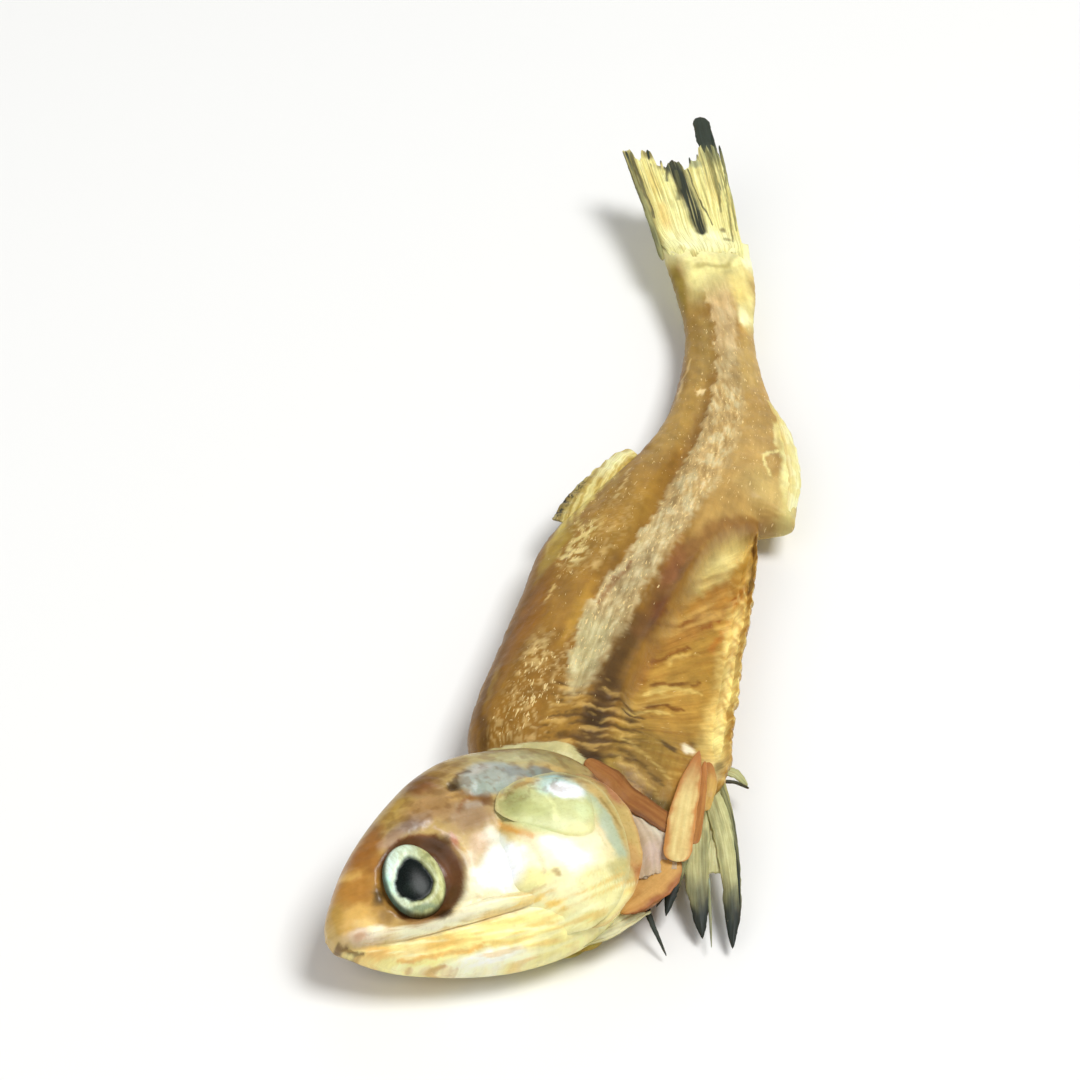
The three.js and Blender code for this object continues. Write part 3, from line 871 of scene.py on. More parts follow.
    def middle(self, station: Array) -> tuple[Array, Array]:
        """Axis point at a station, and the flat direction from it to the belly."""
        place = np.clip(np.asarray(station, float) / self.length, 0, 1) * (len(self.steps) - 1)
        way = at_steps(self.steps, place + 3) - at_steps(self.steps, place - 3)
        out = np.stack([way[..., 1], -way[..., 0]], -1)
        return at_steps(self.steps, place), out / np.linalg.norm(out, axis=-1, keepdims=True)

    def ventral(self, station: Array, below: Amount = 8.0) -> Array:
        """Depth on the belly side. The step at the vent is sharp at the edge, and soft up on the flank."""
        spread = 3 * (1 - smooth(below, 1.5, 3.8))
        step = smooth(station, self.vent - 0.75 - spread, self.vent + 0.15 + spread)
        return mix(self.belly(station), self.muscle(station), step)

    def grain(self, station: Array, below: Array) -> Array:
        """Coordinate that is the same along a fibre of the belly wall, whose fibres fan out from the neck."""
        return below - 7.5 * np.log(np.maximum(station, 2.0))

    def pocket(self, station: Array, below: Array) -> Array:
        """How far inside the sunken belly a place is, from 0 to 1."""
        edge = self.arch_line(station) + 0.15 * ripple(station, below, (2.5, 2.5), 3.1)
        across = smooth(below, edge - 0.3, edge + mix(0.75, 0.4, smooth(station, 18, 23)))
        return across * band(station, (3, 9), (self.vent - 0.8, self.vent))

    def stripe(self, station: Array, below: Array) -> Array:
        """How far inside the silver stripe a place is, from 0 to 1, with its ragged edges."""
        jag = 0.3 * ripple(station, below, (0.9, 0.5), 11.3) + 0.12 * ripple(station, below, (0.3, 0.3), 5.3, 2)
        upper = smooth(below + jag, self.top_edge(station) - 0.1, self.top_edge(station) + 0.2)
        lower = 1 - smooth(below - jag, self.bottom_edge(station) - 0.35, self.bottom_edge(station) + 0.35)
        start = smooth(station + 3.0 * jag, 5.8, 9.4)
        return upper * lower * start * (1 - 0.5 * smooth(station, 37.2, 38.0)) * (1 - smooth(station, 47, 50))

    def flakes(self, station: Array, below: Array) -> Array:
        """Short slanting strokes of scale that are left on the shoulder and here and there behind it."""
        along, across = station - 0.45 * below, 0.45 * station + below
        strokes = ripple(along, across, (0.6, 0.2), 51.0, 3)
        patches = ripple(station, below, (2.2, 1.2), 53.0, 2)
        shoulder = band(station, (1.8, 3), (9.5, 12)) * band(below, (-5.2, -4.2), (-2.0, -0.8))
        behind = 0.55 * band(station, (15, 17), (23, 27)) * band(below, (-5.2, -4.4), (-2.6, -2.0))
        return (shoulder + behind) * smooth(strokes + 0.5 * patches, 0.05, 0.4)

    def fibres(self, station: Array, below: Array) -> Array:
        """Soft light and dark bundles of the belly wall, from about -1 to 1."""
        grain = self.grain(station, below)
        return 0.7 * ripple(grain, station, (1.0, 7.0), 1.7, 2) + 0.5 * ripple(grain, station, (0.34, 4.0), 4.4, 2)

    def film(self, station: Array, below: Array) -> Array:
        """How far under the thin film at the neck a place is, from 0 to 1."""
        edge = self.film_line(below) + 0.16 * ripple(station, below, (1.2, 0.7), 17.0)
        return (1 - smooth(station, edge - 0.15, edge + 0.12)) * (1 - smooth(below, 1.2, 1.9))

    def crumple(self, station: Array, below: Array) -> Array:
        """Furrows of the crumpled skin behind the neck, from about -1 to 1."""
        zone = band(station, (2, 3.2), (7, 9.5)) * band(below, (-2.6, -1.4), (2.6, 4.0))
        return zone * ripple(station - 0.35 * below, below, (0.42, 1.5), 19.0)

    def relief(self, station: Array, below: Array) -> Array:
        """Height added to the flank at a place: muscle, stripe, belly wall, wrinkles and crumbs."""
        inside = self.pocket(station, below)
        stripe = self.stripe(station, below)
        fade = band(station, (3, 9), (36, 46))
        swells = hump(below, 0.3, -3.4, 2.8) - hump(below, 0.22, -1.3, 0.9) + hump(below, 0.12, 0, 1)
        valley = hump(below - self.arch_line(station), 0.4, -0.6, 1.2) * band(station, (2, 6), (20, 25))
        wrinkles = 0.08 * ripple(station, below, (3.4, 1.1), 7.7) + 0.03 * ripple(station, below, (0.5, 0.4), 2.9)
        hatch = 0.05 * ripple(station, below + 0.12 * station, (0.8, 0.2), 6.1, 2)
        chevrons = 0.03 * np.sin(FULL_TURN * (station - 0.9 * np.abs(below)) / 1.5) * smooth(station, 26, 30)
        outside = swells * fade + wrinkles + chevrons * (1 - stripe) + stripe * (self.stripe_height + hatch)
        outside = outside + 0.03 * self.flakes(station, below) + self.film_height * self.film(station, below)
        wall = 0.08 * self.fibres(station, below) - self.pocket_depth
        return inside * wall + (1 - inside) * outside - valley + 0.08 * self.crumple(station, below)

    def place(self, station: Array, across: Array, out: Array) -> Array:
        """Point of the surface.

        Args:
            station: distance from the neck.
            across: from -1 at the back to 1 at the keel.
            out: from -1 on the hidden flank to 1 on the shown one.

        Returns:
            Points in the fish's frame.
        """
        middle, outward = self.middle(station)
        depth = np.where(across < 0, self.back(station), self.ventral(station))
        edge = smooth(np.abs(across), 0.86, 1.0)
        notch = ripple(station, out, (0.9, 2.0), 14.2) + 0.6 * ripple(station, out, (0.3, 2.0), 15.9, 2)
        ragged = np.where(across > 0, 0.13 * band(station, (4, 8), (24, 27)) + 0.04, 0.05)
        below = across * (depth + edge * ragged * notch)
        profile = np.where(across < 0, depth, self.ventral(station, across * depth))
        level = np.clip(across * depth / profile, -1, 1)
        rise = np.where(profile == depth, np.abs(out), np.sqrt(1 - level**2))
        thickness = np.where(out > 0, self.upper(station), self.lower(station))
        thinning = self.keel_thinning * mix(1.0, 0.5, smooth(station, self.vent - 3, self.vent + 3))
        height = np.sign(out) * rise**self.squareness * thickness * (1 - thinning * smooth(level, 0.3, 1))
        on_flank = smooth(np.abs(out), 0.1, 0.5)
        relief = on_flank * self.relief(station, below) * np.where(out > 0, 1.0, self.hidden_relief)
        flat = middle[..., :2] + outward * below[..., None]
        return np.concatenate([flat, (middle[..., 2] + height + np.sign(out) * relief)[..., None]], -1)

    def top(self, station: Amount, below: Amount) -> Array:
        """Points of the shown flank at stations and distances below the stripe's axis."""
        station, below = np.broadcast_arrays(np.atleast_1d(station).astype(float), np.atleast_1d(below).astype(float))
        depth = np.where(below < 0, self.back(station), self.ventral(station))
        across = np.clip(below / depth, -0.995, 0.995)
        return self.place(station, across, np.sqrt(1 - across**2))

    def _paint_stripe(self, paint: Paint, s: Array, b: Array, stripe: Array) -> None:
        """Lays the silver stripe: yellowish grey with pale cells drawn out along it."""
        paint.lay(self.silver, stripe)
        paint.lay((160, 146, 102), (1 - smooth(s, 10, 15)) * stripe * 0.7)
        paint.lay((194, 162, 102), smooth(s, 19, 27) * stripe)
        cells = ripple(s, b + 0.3 * s, (1.2, 0.2), 41.0, 2)
        patches = ripple(s, b, (1.6, 0.9), 43.0, 2)
        paint.lay((206, 192, 146), stripe * smooth(cells + patches, -0.1, 0.5) * 0.7)
        paint.lay((142, 116, 74), stripe * smooth(-cells - patches, 0.1, 0.6) * 0.45)
        paint.lay((200, 190, 138), stripe * (1 - smooth(s, 12, 14)) * smooth(-b, 0.2, 1.0) * 0.5)
        paint.lay((222, 192, 142), stripe * smooth(s, 41, 43) * 0.6)

    def paint(self, s: Array, b: Array) -> Paint:
        """Colours of the flesh at stations and distances below the stripe's axis, with painted shade and highlights."""
        chart = Chart(s, b, 0.3, 1.3, 21.0)
        fine = Chart(s, b, 0.2, 0.6, 23.0)
        inside, stripe, flakes = self.pocket(s, b), self.stripe(s, b), self.flakes(s, b)
        furrows, fibres, film = self.crumple(s, b), self.fibres(s, b), self.film(s, b)
        paint = Paint(len(s), self.ground, wet=0.6, flecks=0.06, fibres=0.15)
        paint.marks(chart, self.back_marks)
        fold_lines = ripple(b + 0.32 * s, s, (0.26, 4.0), 45.0, 2)
        base = chart.spot((23.5, -5.8), (5.0, 1.1), 8, 0.7)
        paint.lay((140, 104, 36), base * smooth(fold_lines, 0.1, 0.4) * 0.7)
        paint.lay((228, 212, 128), base * smooth(-fold_lines, 0.1, 0.4) * 0.6)
        paint.lay((180, 144, 78), smooth(b, 0.4, 1.4) * smooth(s, 19, 24))
        paint.marks(chart, self.rear_marks)
        # belly wall
        wall = np.clip(inside + (1 - smooth(s, 6, 11)) * smooth(b, 1.2, 2.4) * smooth(s, 1, 2), 0, 1)
        paint.lay(self.wall_colour, wall)
        paint.marks(fine, self.wall_marks, wall)
        paint.lay((136, 88, 28), wall * smooth(fibres, 0.1, 0.5) * 0.36)
        paint.lay((224, 188, 104), wall * smooth(-fibres, 0.1, 0.5) * 0.36)
        paint.marks(fine, self.front_marks)
        paint.marks(chart, self.keel_marks)
        keel = smooth(b, self.belly(s) - 1.7, self.belly(s) - 0.6) * band(s, (7.5, 10), (20, 24))
        chevrons = (s + 1.2 * np.abs(b - self.belly(s) + 0.8)) / 1.2
        scutes = np.sin(FULL_TURN * chevrons + 5.0 * ripple(s, b, (1.4, 1.0), 47.0))
        paint.lay((250, 230, 148), keel * smooth(scutes, 0.0, 0.7) * 0.35)
        paint.lay((168, 114, 42), keel * smooth(-scutes, 0.3, 0.9) * 0.35)
        paint.marks(fine, self.valley_marks)
        # painted shade in the crumpled skin's furrows and painted light on its ridges, following its relief
        paint.lay((70, 46, 16), smooth(-furrows, 0.05, 0.45) * 0.7)
        paint.lay((206, 168, 92), smooth(furrows, 0.12, 0.5) * 0.6)
        self._paint_stripe(paint, s, b, stripe)
        paint.lay((132, 82, 36), fine.line(((14.0, -1.9), (16.0, -1.65), (18.2, -1.25)), 0.3, 0.8) * 0.7)
        rust = smooth(ripple(s, b, (0.4, 0.3), 49.0, 2), 0.0, 0.3)
        paint.lay((132, 84, 44), chart.spot((20.0, 0.75), (2.2, 0.5), 2, 0.7) * rust * 0.45)
        # tail root
        paint.lay(self.root_colour, smooth(s - 0.6 * b, 46.6, 50.6) * smooth(b, -2.4, -1.2) * 0.95)
        paint.marks(chart, self.root_marks)
        paint.lay((246, 240, 178), smooth(s, 50.2, 53.0) * 0.85)
        # scales that are left, and the film at the neck
        ragged = smooth(ripple(s, b, (0.5, 0.32), 57.0), -0.16, 0.1)
        paint.marks(fine, self.scale_marks, ragged)
        paint.lay((212, 182, 118), flakes * 0.5)
        paint.lay(self.film_colour, film * 0.95)
        paint.lay((220, 212, 160), film * smooth(ripple(s, b, (0.8, 1.2), 59.0), 0.0, 0.4) * 0.6)
        # feel
        paint.touch(band(s, (24, 28), (44, 50)), flecks=0.4)
        paint.touch(chart.spot((21, -4), (9, 2.4)), flecks=0.4)
        paint.touch(chart.spot((6.4, -3.4), (5.0, 1.6), 0, 0.8), flecks=0.75, wet=0.4)
        paint.touch(chart.spot((19.0, -4.4), (3.4, 1.0), 0, 0.8), flecks=0.7, wet=0.4)
        paint.touch(wall, wet=0.8, flecks=0.15, fibres=0.45)
        paint.touch(1 - smooth(s, 1, 7), fibres=0.0)
        paint.touch(stripe, wet=0.3, flecks=0.62, fibres=0.7)
        return paint.shade(1 + 0.24 * ripple(s, b, (3.2, 1.8), 61.0) + 0.14 * ripple(s, b, (0.8, 0.5), 63.0, 2))

    def skin(self, along: Array, across: Array, out: Array) -> Skin:
        """Skin of the whole trunk."""
        station = along * self.length
        depth = np.where(across < 0, self.back(station), self.ventral(station))
        below = across * depth
        points = on_floor(self.place(station, across, out))
        depth_in = self.upper_thicknesses[2][1] * out
        in_wall = self.pocket(station, below) > 0.5
        threads = np.where(in_wall, self.grain(station, below), below + 0.06 * station)
        flow = columns(threads, station, depth_in + 9.0 * in_wall)
        round_back = 2.4 * (1 - np.abs(out)) ** 4 - 2.0 * (out < 0) * (1 - (1 + out) ** 4)
        turned = below - np.where(across < 0, round_back, 0.0) * (1 - smooth(station, 28, 42))
        return Skin(points, self.paint(station, turned), columns(station, below, depth_in), flow)

    def build(self) -> Piece:
        """Makes the trunk."""
        return Modelling("trunk").round(self.sides, self.rings, self.skin).done(FLESH, "flesh")


# ---- head


@dataclass
class Head:
    """Skull, eyes, jaws and the thin plates of the gill cover, in the head's own frame."""

    centre: Triple = (0.0, 0.0, 3.7)
    heading: float = 17.0
    roll: float = 20.0
    rear: float = -7.5
    snout: float = 9.1
    sides: int = 220
    rings: int = 230
    ground: Colour = (204, 174, 108)
    jaw_colour: Colour = (250, 238, 156)
    socket_colour: Colour = (100, 64, 32)
    eye_ring: Colour = (176, 180, 124)
    eye_edge: Colour = (84, 74, 40)
    pupil_colour: Colour = (14, 21, 19)
    squareness: float = 0.8
    crown_line: Stations = (
        (-7.5, 0), (-7.1, 2.9), (-6.2, 4.5), (-4.3, 5.6), (-1.1, 6.1), (0.7, 6), (2.4, 5.4), (3.6, 4.7), (5, 3.7),
        (6.4, 2.5), (7.5, 1.3), (8.6, -0.3), (9, -1.1), (9.1, -1.7),
    )
    throat_line: Stations = (
        (-7.5, 0), (-7.2, -2.4), (-6.4, -3.6), (-5.2, -4.5), (-3.5, -5.2), (-1.5, -5.5), (0.6, -5.5), (3, -5.1),
        (5.1, -4.5), (6.4, -4), (7.9, -3.1), (8.8, -2.4), (9.1, -1.7),
    )
    half_widths: Stations = ((-7.5, 0.6), (-6.6, 2.3), (-3, 3.2), (0, 3.1), (4, 2.6), (7, 1.8), (8.6, 1), (9.1, 0.2))
    eye_centre: Pair = (4.48, -0.55)
    eye_radii: Triple = (1.54, 2.0, 0.75)
    pupil_centre: Pair = (4.56, -0.62)
    pupil_radii: Pair = (0.95, 1.18)
    socket_centre: Pair = (4.28, -0.62)
    socket_radii: Pair = (2.16, 2.3)
    socket_depth: float = 0.42
    cover_centre: Pair = (-3.1, -0.4)
    cover_radii: Pair = (4.3, 4.8)
    cover_rise: float = 0.6
    cover_dishing: float = 0.055
    cover_sunk: float = 0.35
    # height, centre, radii and turn of low bumps and dents
    bumps: tuple[tuple[float, Pair, Pair, float], ...] = (
        (0.2, (3.9, 2.25), (1.5, 0.5), -8),
        (0.14, (2.3, 1.5), (0.5, 0.7), -35),
        (0.1, (-0.8, 3.9), (1.7, 0.8), 4),
        (-0.22, (0.95, 3.8), (0.42, 0.36), 0),
        (-0.14, (0.1, 3.0), (0.7, 0.3), -50),
        (0.14, (0.1, -1.2), (1.1, 1.1), 0),
        (0.16, (-3.2, -1.6), (0.8, 1.9), -44),
        (-0.12, (-1.0, 0.5), (0.3, 1.0), -30),
        (-0.1, (6.4, -0.9), (0.5, 0.7), 0),
        (0.1, (7.3, 0.8), (0.5, 0.4), 0),
        (0.12, (7.4, -2.3), (0.9, 0.3), 14),
    )
    crown_marks: Marks = (
        Dab((186, 138, 62), (7.0, 0.2), (2.2, 2.6), 0, 0.95),
        Dab((176, 120, 48), (7.3, -0.1), (1.0, 1.1), 0, 0.7),
        Dab((224, 180, 96), (7.6, -1.5), (1.0, 0.8), 0, 0.8),
        Dab((222, 180, 98), (7.3, 0.8), (0.5, 0.45), 0, 0.8),
        Dab((190, 150, 68), (8.6, -1.0), (0.4, 0.9), 0, 0.7),
        Dab((154, 94, 30), (5.9, 2.1), (1.9, 0.55), -42, 0.85),
        Dab((190, 152, 66), (4.0, 3.5), (1.2, 0.9), -40, 0.9),
        Dab((208, 176, 92), (4.0, 3.0), (0.9, 0.5), -30, 0.7),
        Dab((122, 80, 32), (2.3, 4.7), (1.3, 0.7), -22, 0.9),
        Dab((140, 84, 36), (2.2, 4.1), (0.9, 0.5), 0, 0.7),
        Dab((166, 130, 62), (0.6, 5.3), (1.1, 0.7), 0, 0.85),
        Dab((176, 164, 112), (-3.0, 4.9), (3.4, 1.1), 8, 0.9),
        Dab((198, 192, 142), (-3.3, 4.6), (2.0, 0.45), 10, 0.8),
        Dab((158, 142, 84), (-4.8, 4.3), (1.8, 0.6), 38, 0.8),
        Stroke((148, 130, 72), ((-6.4, 3.5), (-5.0, 5.0), (-3.0, 5.75), (-1.4, 5.9)), 0.6, 0.7, 0.9, 0.0),
        Dab((116, 100, 48), (-3.4, 5.65), (0.8, 0.3), 6, 0.8),
        Dab((142, 110, 56), (-2.2, 5.6), (0.5, 0.3), 0, 0.7),
        Dab((172, 152, 92), (-5.7, 3.0), (0.9, 0.5), 30, 0.8),
        Dab((176, 134, 80), (2.5, 2.9), (1.9, 1.0), -8, 0.9),
        Dab((206, 164, 96), (1.2, 3.3), (0.6, 0.5), 0, 0.85),
        Dab((194, 154, 100), (2.4, 3.35), (0.8, 0.25), 0, 0.6),
        Dab((170, 138, 102), (0.9, 1.8), (1.4, 1.1), 0, 0.9),
        # pale greyish spot: painted highlight on the brown patch
        Dab((186, 168, 146), (0.3, 2.4), (0.7, 0.35), 10, 0.8),
        Dab((152, 108, 54), (0.3, 3.0), (0.9, 0.4), 38, 0.8),
        Dab((120, 72, 32), (-0.3, 2.5), (0.35, 0.5), -20, 0.8),
        Stroke((152, 92, 42), ((0.2, 3.1), (0.9, 2.7), (1.3, 2.2)), 0.3, 0.6),
    )
    patch_marks: Marks = (
        Dab((180, 188, 176), (-0.9, 3.75), (1.7, 1.1), 6, 0.95, 0.25),
        Dab((204, 200, 186), (-0.6, 4.4), (0.8, 0.35), 0, 0.85),
        Dab((176, 190, 172), (-0.7, 3.2), (1.0, 0.5), 20, 0.7),
        Dab((150, 154, 146), (-2.9, 3.6), (1.4, 0.5), 16, 0.92, 0.3),
        Dab((138, 150, 138), (-3.8, 3.15), (1.0, 0.42), 20, 0.9, 0.3),
        Dab((148, 182, 170), (-4.0, 2.75), (0.7, 0.22), 12, 0.8),
        Dab((112, 96, 60), (-4.9, 2.85), (0.55, 0.3), 16, 0.85),
        Dab((206, 190, 128), (-2.9, 4.0), (0.35, 0.3), 0, 0.7),
        Dab((66, 44, 12), (0.95, 3.8), (0.42, 0.36), 0, 0.95),
        Stroke((96, 72, 40), ((0.0, 4.5), (0.45, 4.45), (0.75, 4.1)), 0.26, 0.8),
    )
    brow_marks: Marks = (
        Dab((166, 148, 138), (3.8, 2.2), (1.1, 0.45), -4, 0.85, 0.7),
        Dab((184, 152, 126), (4.9, 1.85), (0.8, 0.4), -20, 0.8),
        Dab((176, 140, 96), (2.9, 2.5), (0.9, 0.3), 0, 0.6),
        Stroke((128, 66, 28), ((2.9, 1.2), (4.0, 1.55), (5.1, 1.45)), 0.42, 0.9),
        Dab((160, 106, 44), (6.1, 0.9), (0.6, 1.1), -14, 0.8),
    )
    socket_marks: Marks = (
        Dab((80, 48, 14), (2.75, 0.75), (0.75, 0.65), 30, 0.95),
        Dab((108, 68, 38), (2.45, -0.6), (0.6, 1.2), 0, 0.8),
        Dab((92, 62, 32), (2.9, -1.9), (0.7, 0.6), -40, 0.8),
        Dab((56, 34, 10), (3.7, -2.7), (0.6, 0.32), -16, 0.95),
        Dab((150, 110, 62), (5.0, -2.7), (1.0, 0.3), 12, 0.8),
        Dab((88, 68, 34), (6.4, -0.85), (0.36, 0.62), 6, 0.9),
        Dab((152, 116, 56), (6.2, -1.8), (0.5, 0.6), 20, 0.7),
        # pale streak and spot at the socket's upper rim: painted highlights
        Stroke((222, 196, 170), ((2.05, 1.0), (2.4, 1.3), (2.75, 1.75)), 0.26, 0.7, 0.7, 0.2),
        Dab((220, 190, 160), (2.9, 2.1), (0.3, 0.2), 30, 0.5),
        Dab((190, 120, 96), (2.05, 0.7), (0.22, 0.5), 0, 0.7),
    )
    cheek_marks: Marks = (
        Dab((244, 236, 188), (-0.3, -2.0), (3.6, 2.0), -6, 0.97),
        Dab((246, 238, 186), (-3.6, -2.6), (2.6, 2.2), 0, 0.95),
        Dab((240, 228, 178), (-1.2, -0.9), (0.9, 0.9), 0, 0.7),
        Dab((250, 240, 160), (-1.3, -2.4), (1.2, 0.6), -6, 0.8),
        Dab((255, 254, 222), (-3.1, -1.5), (0.75, 1.7), -44, 0.95, 0.5),
        Dab((255, 255, 236), (-2.6, -0.9), (0.4, 0.8), -44, 0.9),
        Dab((232, 226, 186), (2.0, -2.3), (1.2, 0.7), -20, 0.6),
        # pure white patch on the cheek: its pearly colour with a painted highlight
        Dab((255, 255, 250), (0.1, -1.2), (1.15, 1.15), 0, 1.0, 0.35),
        Dab((248, 253, 246), (1.2, -1.4), (0.7, 0.6), 0, 0.9),
        Dab((240, 244, 226), (0.1, 0.2), (0.5, 0.8), 0, 0.8),
        Stroke((216, 196, 146), ((-1.0, 0.0), (-1.5, -1.0), (-1.7, -2.1)), 0.5, 0.75, 0.9, 0.3),
        Stroke((206, 178, 122), ((1.6, -2.4), (0.2, -2.7), (-1.6, -2.9)), 0.3, 0.6, 0.9, 0.2),
        Dab((224, 208, 158), (-4.4, -0.6), (0.8, 1.3), -20, 0.6),
        Dab((222, 194, 162), (0.9, 0.25), (0.8, 0.6), -10, 0.8),
        Dab((228, 208, 174), (1.5, -0.4), (0.5, 0.5), 0, 0.7),
        Stroke((210, 152, 70), ((-0.6, 1.1), (-0.8, 0.6), (-1.35, -0.1)), 0.55, 0.9, 0.8, 0.2),
        Dab((176, 146, 78), (-2.3, -2.4), (0.34, 0.2), 40, 0.85),
        Dab((214, 196, 108), (-3.7, -4.6), (0.7, 0.22), 12, 0.5),
        Dab((238, 224, 136), (-4.3, -3.4), (1.2, 0.8), 0, 0.6),
    )
    jaw_marks: Marks = (
        Stroke((244, 238, 204), ((1.0, -2.85), (3.0, -3.1), (5.0, -3.1), (6.0, -2.95)), 0.6, 0.9, 0.8, 0.0),
        Stroke((216, 190, 132), ((-0.4, -3.35), (2.0, -3.45), (4.4, -3.4), (5.6, -3.3)), 0.24, 0.75, 0.8, 0.0),
        Dab((254, 244, 156), (1.2, -3.95), (2.7, 0.4), 0, 0.9),
        Stroke((246, 204, 106), ((-2.2, -3.9), (-1.2, -3.3), (0.0, -3.2)), 0.5, 0.85),
        Stroke((244, 206, 108), ((-1.9, -4.4), (0.6, -4.45), (2.8, -4.5)), 0.22, 0.7),
        Dab((246, 202, 112), (4.2, -3.9), (1.3, 0.34), 6, 0.9),
        Dab((252, 224, 152), (5.6, -3.8), (1.0, 0.32), 14, 0.85),
        Stroke((236, 176, 88), ((2.2, -4.5), (4.2, -4.35), (6.2, -3.95)), 0.26, 0.7),
        Dab((255, 255, 238), (1.8, -5.05), (2.4, 0.36), 6, 0.95),
        Stroke((196, 140, 62), ((3.4, -5.0), (4.4, -4.75), (5.8, -4.3)), 0.2, 0.7),
        Dab((236, 214, 188), (7.4, -2.45), (1.2, 0.42), 14, 0.9),
        Dab((252, 242, 202), (7.0, -2.45), (0.5, 0.32), 20, 0.9),
        Dab((208, 166, 130), (7.85, -2.45), (0.35, 0.2), 10, 0.8),
        Dab((240, 206, 130), (7.4, -1.9), (0.6, 0.24), 20, 0.8),
        Dab((238, 190, 106), (7.1, -3.3), (0.8, 0.3), 22, 0.9),
        Dab((228, 206, 152), (6.3, -3.0), (0.4, 0.2), 10, 0.7),
        Stroke((104, 68, 26), ((8.8, -2.35), (8.2, -2.85), (7.7, -3.05)), 0.22, 0.8),
    )
    rim_marks: Marks = (
        Dab((188, 162, 96), (-6.4, -0.2), (0.7, 2.6), 0, 0.9),
        Dab((122, 70, 32), (-6.85, 2.5), (0.5, 1.2), 14, 0.9),
        Dab((172, 110, 74), (-6.8, 1.2), (0.42, 0.7), 0, 0.85),
        Dab((204, 176, 112), (-6.5, -0.6), (0.4, 0.6), 0, 0.7),
        Dab((196, 154, 94), (-6.6, -2.4), (0.5, 0.8), -12, 0.85),
        Dab((168, 98, 58), (-6.75, -3.0), (0.35, 0.5), 0, 0.8),
        Stroke((178, 190, 158), ((-5.2, 1.2), (-5.5, 0.2), (-5.7, -1.0), (-5.9, -2.1)), 0.85, 0.95, 0.6, 0.0),
        Stroke((150, 124, 68), ((-5.9, 1.0), (-6.1, 0.2), (-6.3, -0.9)), 0.26, 0.7),
        Dab((196, 186, 120), (-5.6, -2.8), (0.7, 0.6), 0, 0.8),
        Stroke((198, 192, 128), ((-4.9, 0.4), (-4.9, -0.6), (-5.1, -1.6)), 0.2, 0.7),
    )
    plate_marks: Marks = (
        Dab((208, 212, 150), (-3.0, 0.95), (2.6, 1.5), 16, 0.97, 0.25),
        Dab((160, 160, 98), (-1.4, 1.8), (0.8, 1.0), 30, 0.85),
        Dab((182, 186, 120), (-2.3, 0.9), (0.6, 1.2), -30, 0.7),
        Stroke((228, 230, 166), ((-2.6, 2.6), (-3.1, 1.8), (-3.25, 0.9), (-3.1, 0.3)), 0.34, 0.85),
        Dab((220, 230, 172), (-4.6, 0.5), (0.45, 0.5), 0, 0.8),
        Dab((206, 202, 124), (-4.0, -0.5), (1.0, 0.4), 8, 0.8),
        # cyan-white spot with a white core: painted highlight on the glassy plate
        Dab((206, 240, 232), (-4.0, 2.15), (1.3, 0.75), 16, 0.85),
        Dab((255, 255, 255), (-4.25, 1.8), (1.0, 0.62), 24, 1.0, 0.35),
        Stroke((208, 200, 138), ((-2.3, 3.0), (-1.3, 2.6), (-0.7, 2.0), (-0.45, 1.4)), 0.2, 0.85, 0.8, 0.0),
    )

    def __post_init__(self) -> None:
        """Turns the outlines into curves."""
        self.crown, self.throat = through(self.crown_line), through(self.throat_line)
        self.half_width = through(self.half_widths)

    def to_fish(self, points: Array) -> Array:
        """Turns points of the head's frame into the fish's frame."""
        x, y, z = (points * (1, -1, 1)).T
        roll, turn = math.radians(-self.roll), math.radians(180 + self.heading)
        y, z = y * math.cos(roll) - z * math.sin(roll), y * math.sin(roll) + z * math.cos(roll)
        x, y = x * math.cos(turn) - y * math.sin(turn), x * math.sin(turn) + y * math.cos(turn)
        return columns(x, y, z) + self.centre

    def cheek(self, x: Array, y: Array) -> Array:
        """Height of the bare cheek out of the head's middle plane."""
        top, bottom = self.crown(x), self.throat(x)
        up = np.clip((2 * y - top - bottom) / np.maximum(top - bottom, 0.01), -1, 1)
        return np.sqrt(1 - up**2) ** self.squareness * self.half_width(x)

    def dish(self, x: Array, y: Array) -> Array:
        """Height of the gill cover's dish, which stands over the shoulder."""
        u, v = x - self.cover_centre[0], y - self.cover_centre[1]
        rim = smooth(np.hypot(u / self.cover_radii[0], v / self.cover_radii[1]), 0.3, 1.0)
        flat = self.half_width(self.cover_centre[0]) - self.cover_sunk
        return flat + self.cover_rise * np.sqrt(np.clip(1 - rim**2, 0, 1)) - self.cover_dishing * v**2

    def jaw_height(self, x: Array, y: Array) -> Array:
        """How far above the line between the jaws a place is."""
        return y + 3.35 - 0.02 * (x + 1.5) - 0.05 * np.maximum(x - 5, 0) ** 2

    def socket_reach(self, x: Array, y: Array) -> Array:
        """Distance from the middle of the eye socket, 1 at its edge."""
        u, v = x - self.socket_centre[0], y - self.socket_centre[1]
        return np.hypot(u / self.socket_radii[0], v / self.socket_radii[1])

    def relief(self, x: Array, y: Array) -> Array:
        """Height added to the cheek: socket, brow, jaws, creases of the skin."""
        reach = self.socket_reach(x, y)
        jaw = self.jaw_height(x, y)
        behind = smooth(x, -2.6, -0.6)
        bones = hump(jaw, 0.16, 0.34, 0.6) * behind - hump(jaw, 0.2, -0.06, 0.26) * behind
        rays = 0.05 * np.sin(FULL_TURN * (jaw + 0.05 * (x - 1) ** 2 * (x < 1)) / 0.62) * smooth(-jaw, 0.3, 0.9)
        skin = 0.07 * ripple(x, y, (1.6, 1.2), 2.2) + 0.03 * ripple(x, y, (0.4, 0.4), 5.5)
        forehead = 0.06 * ripple(x - y, x + y, (0.5, 2.2), 8.1) * smooth(y, 1.5, 3)
        total = bones + rays + skin + forehead + hump(reach, 0.06, 1.08, 0.2)
        chart = Chart(x, y, 0.12, 0.6, 77.0)
        for height, centre, radii, turn in self.bumps:
            total = total + height * chart.spot(centre, radii, turn, 0.8)
        return total - self.socket_depth * (1 - smooth(reach, 0.7, 1.0))

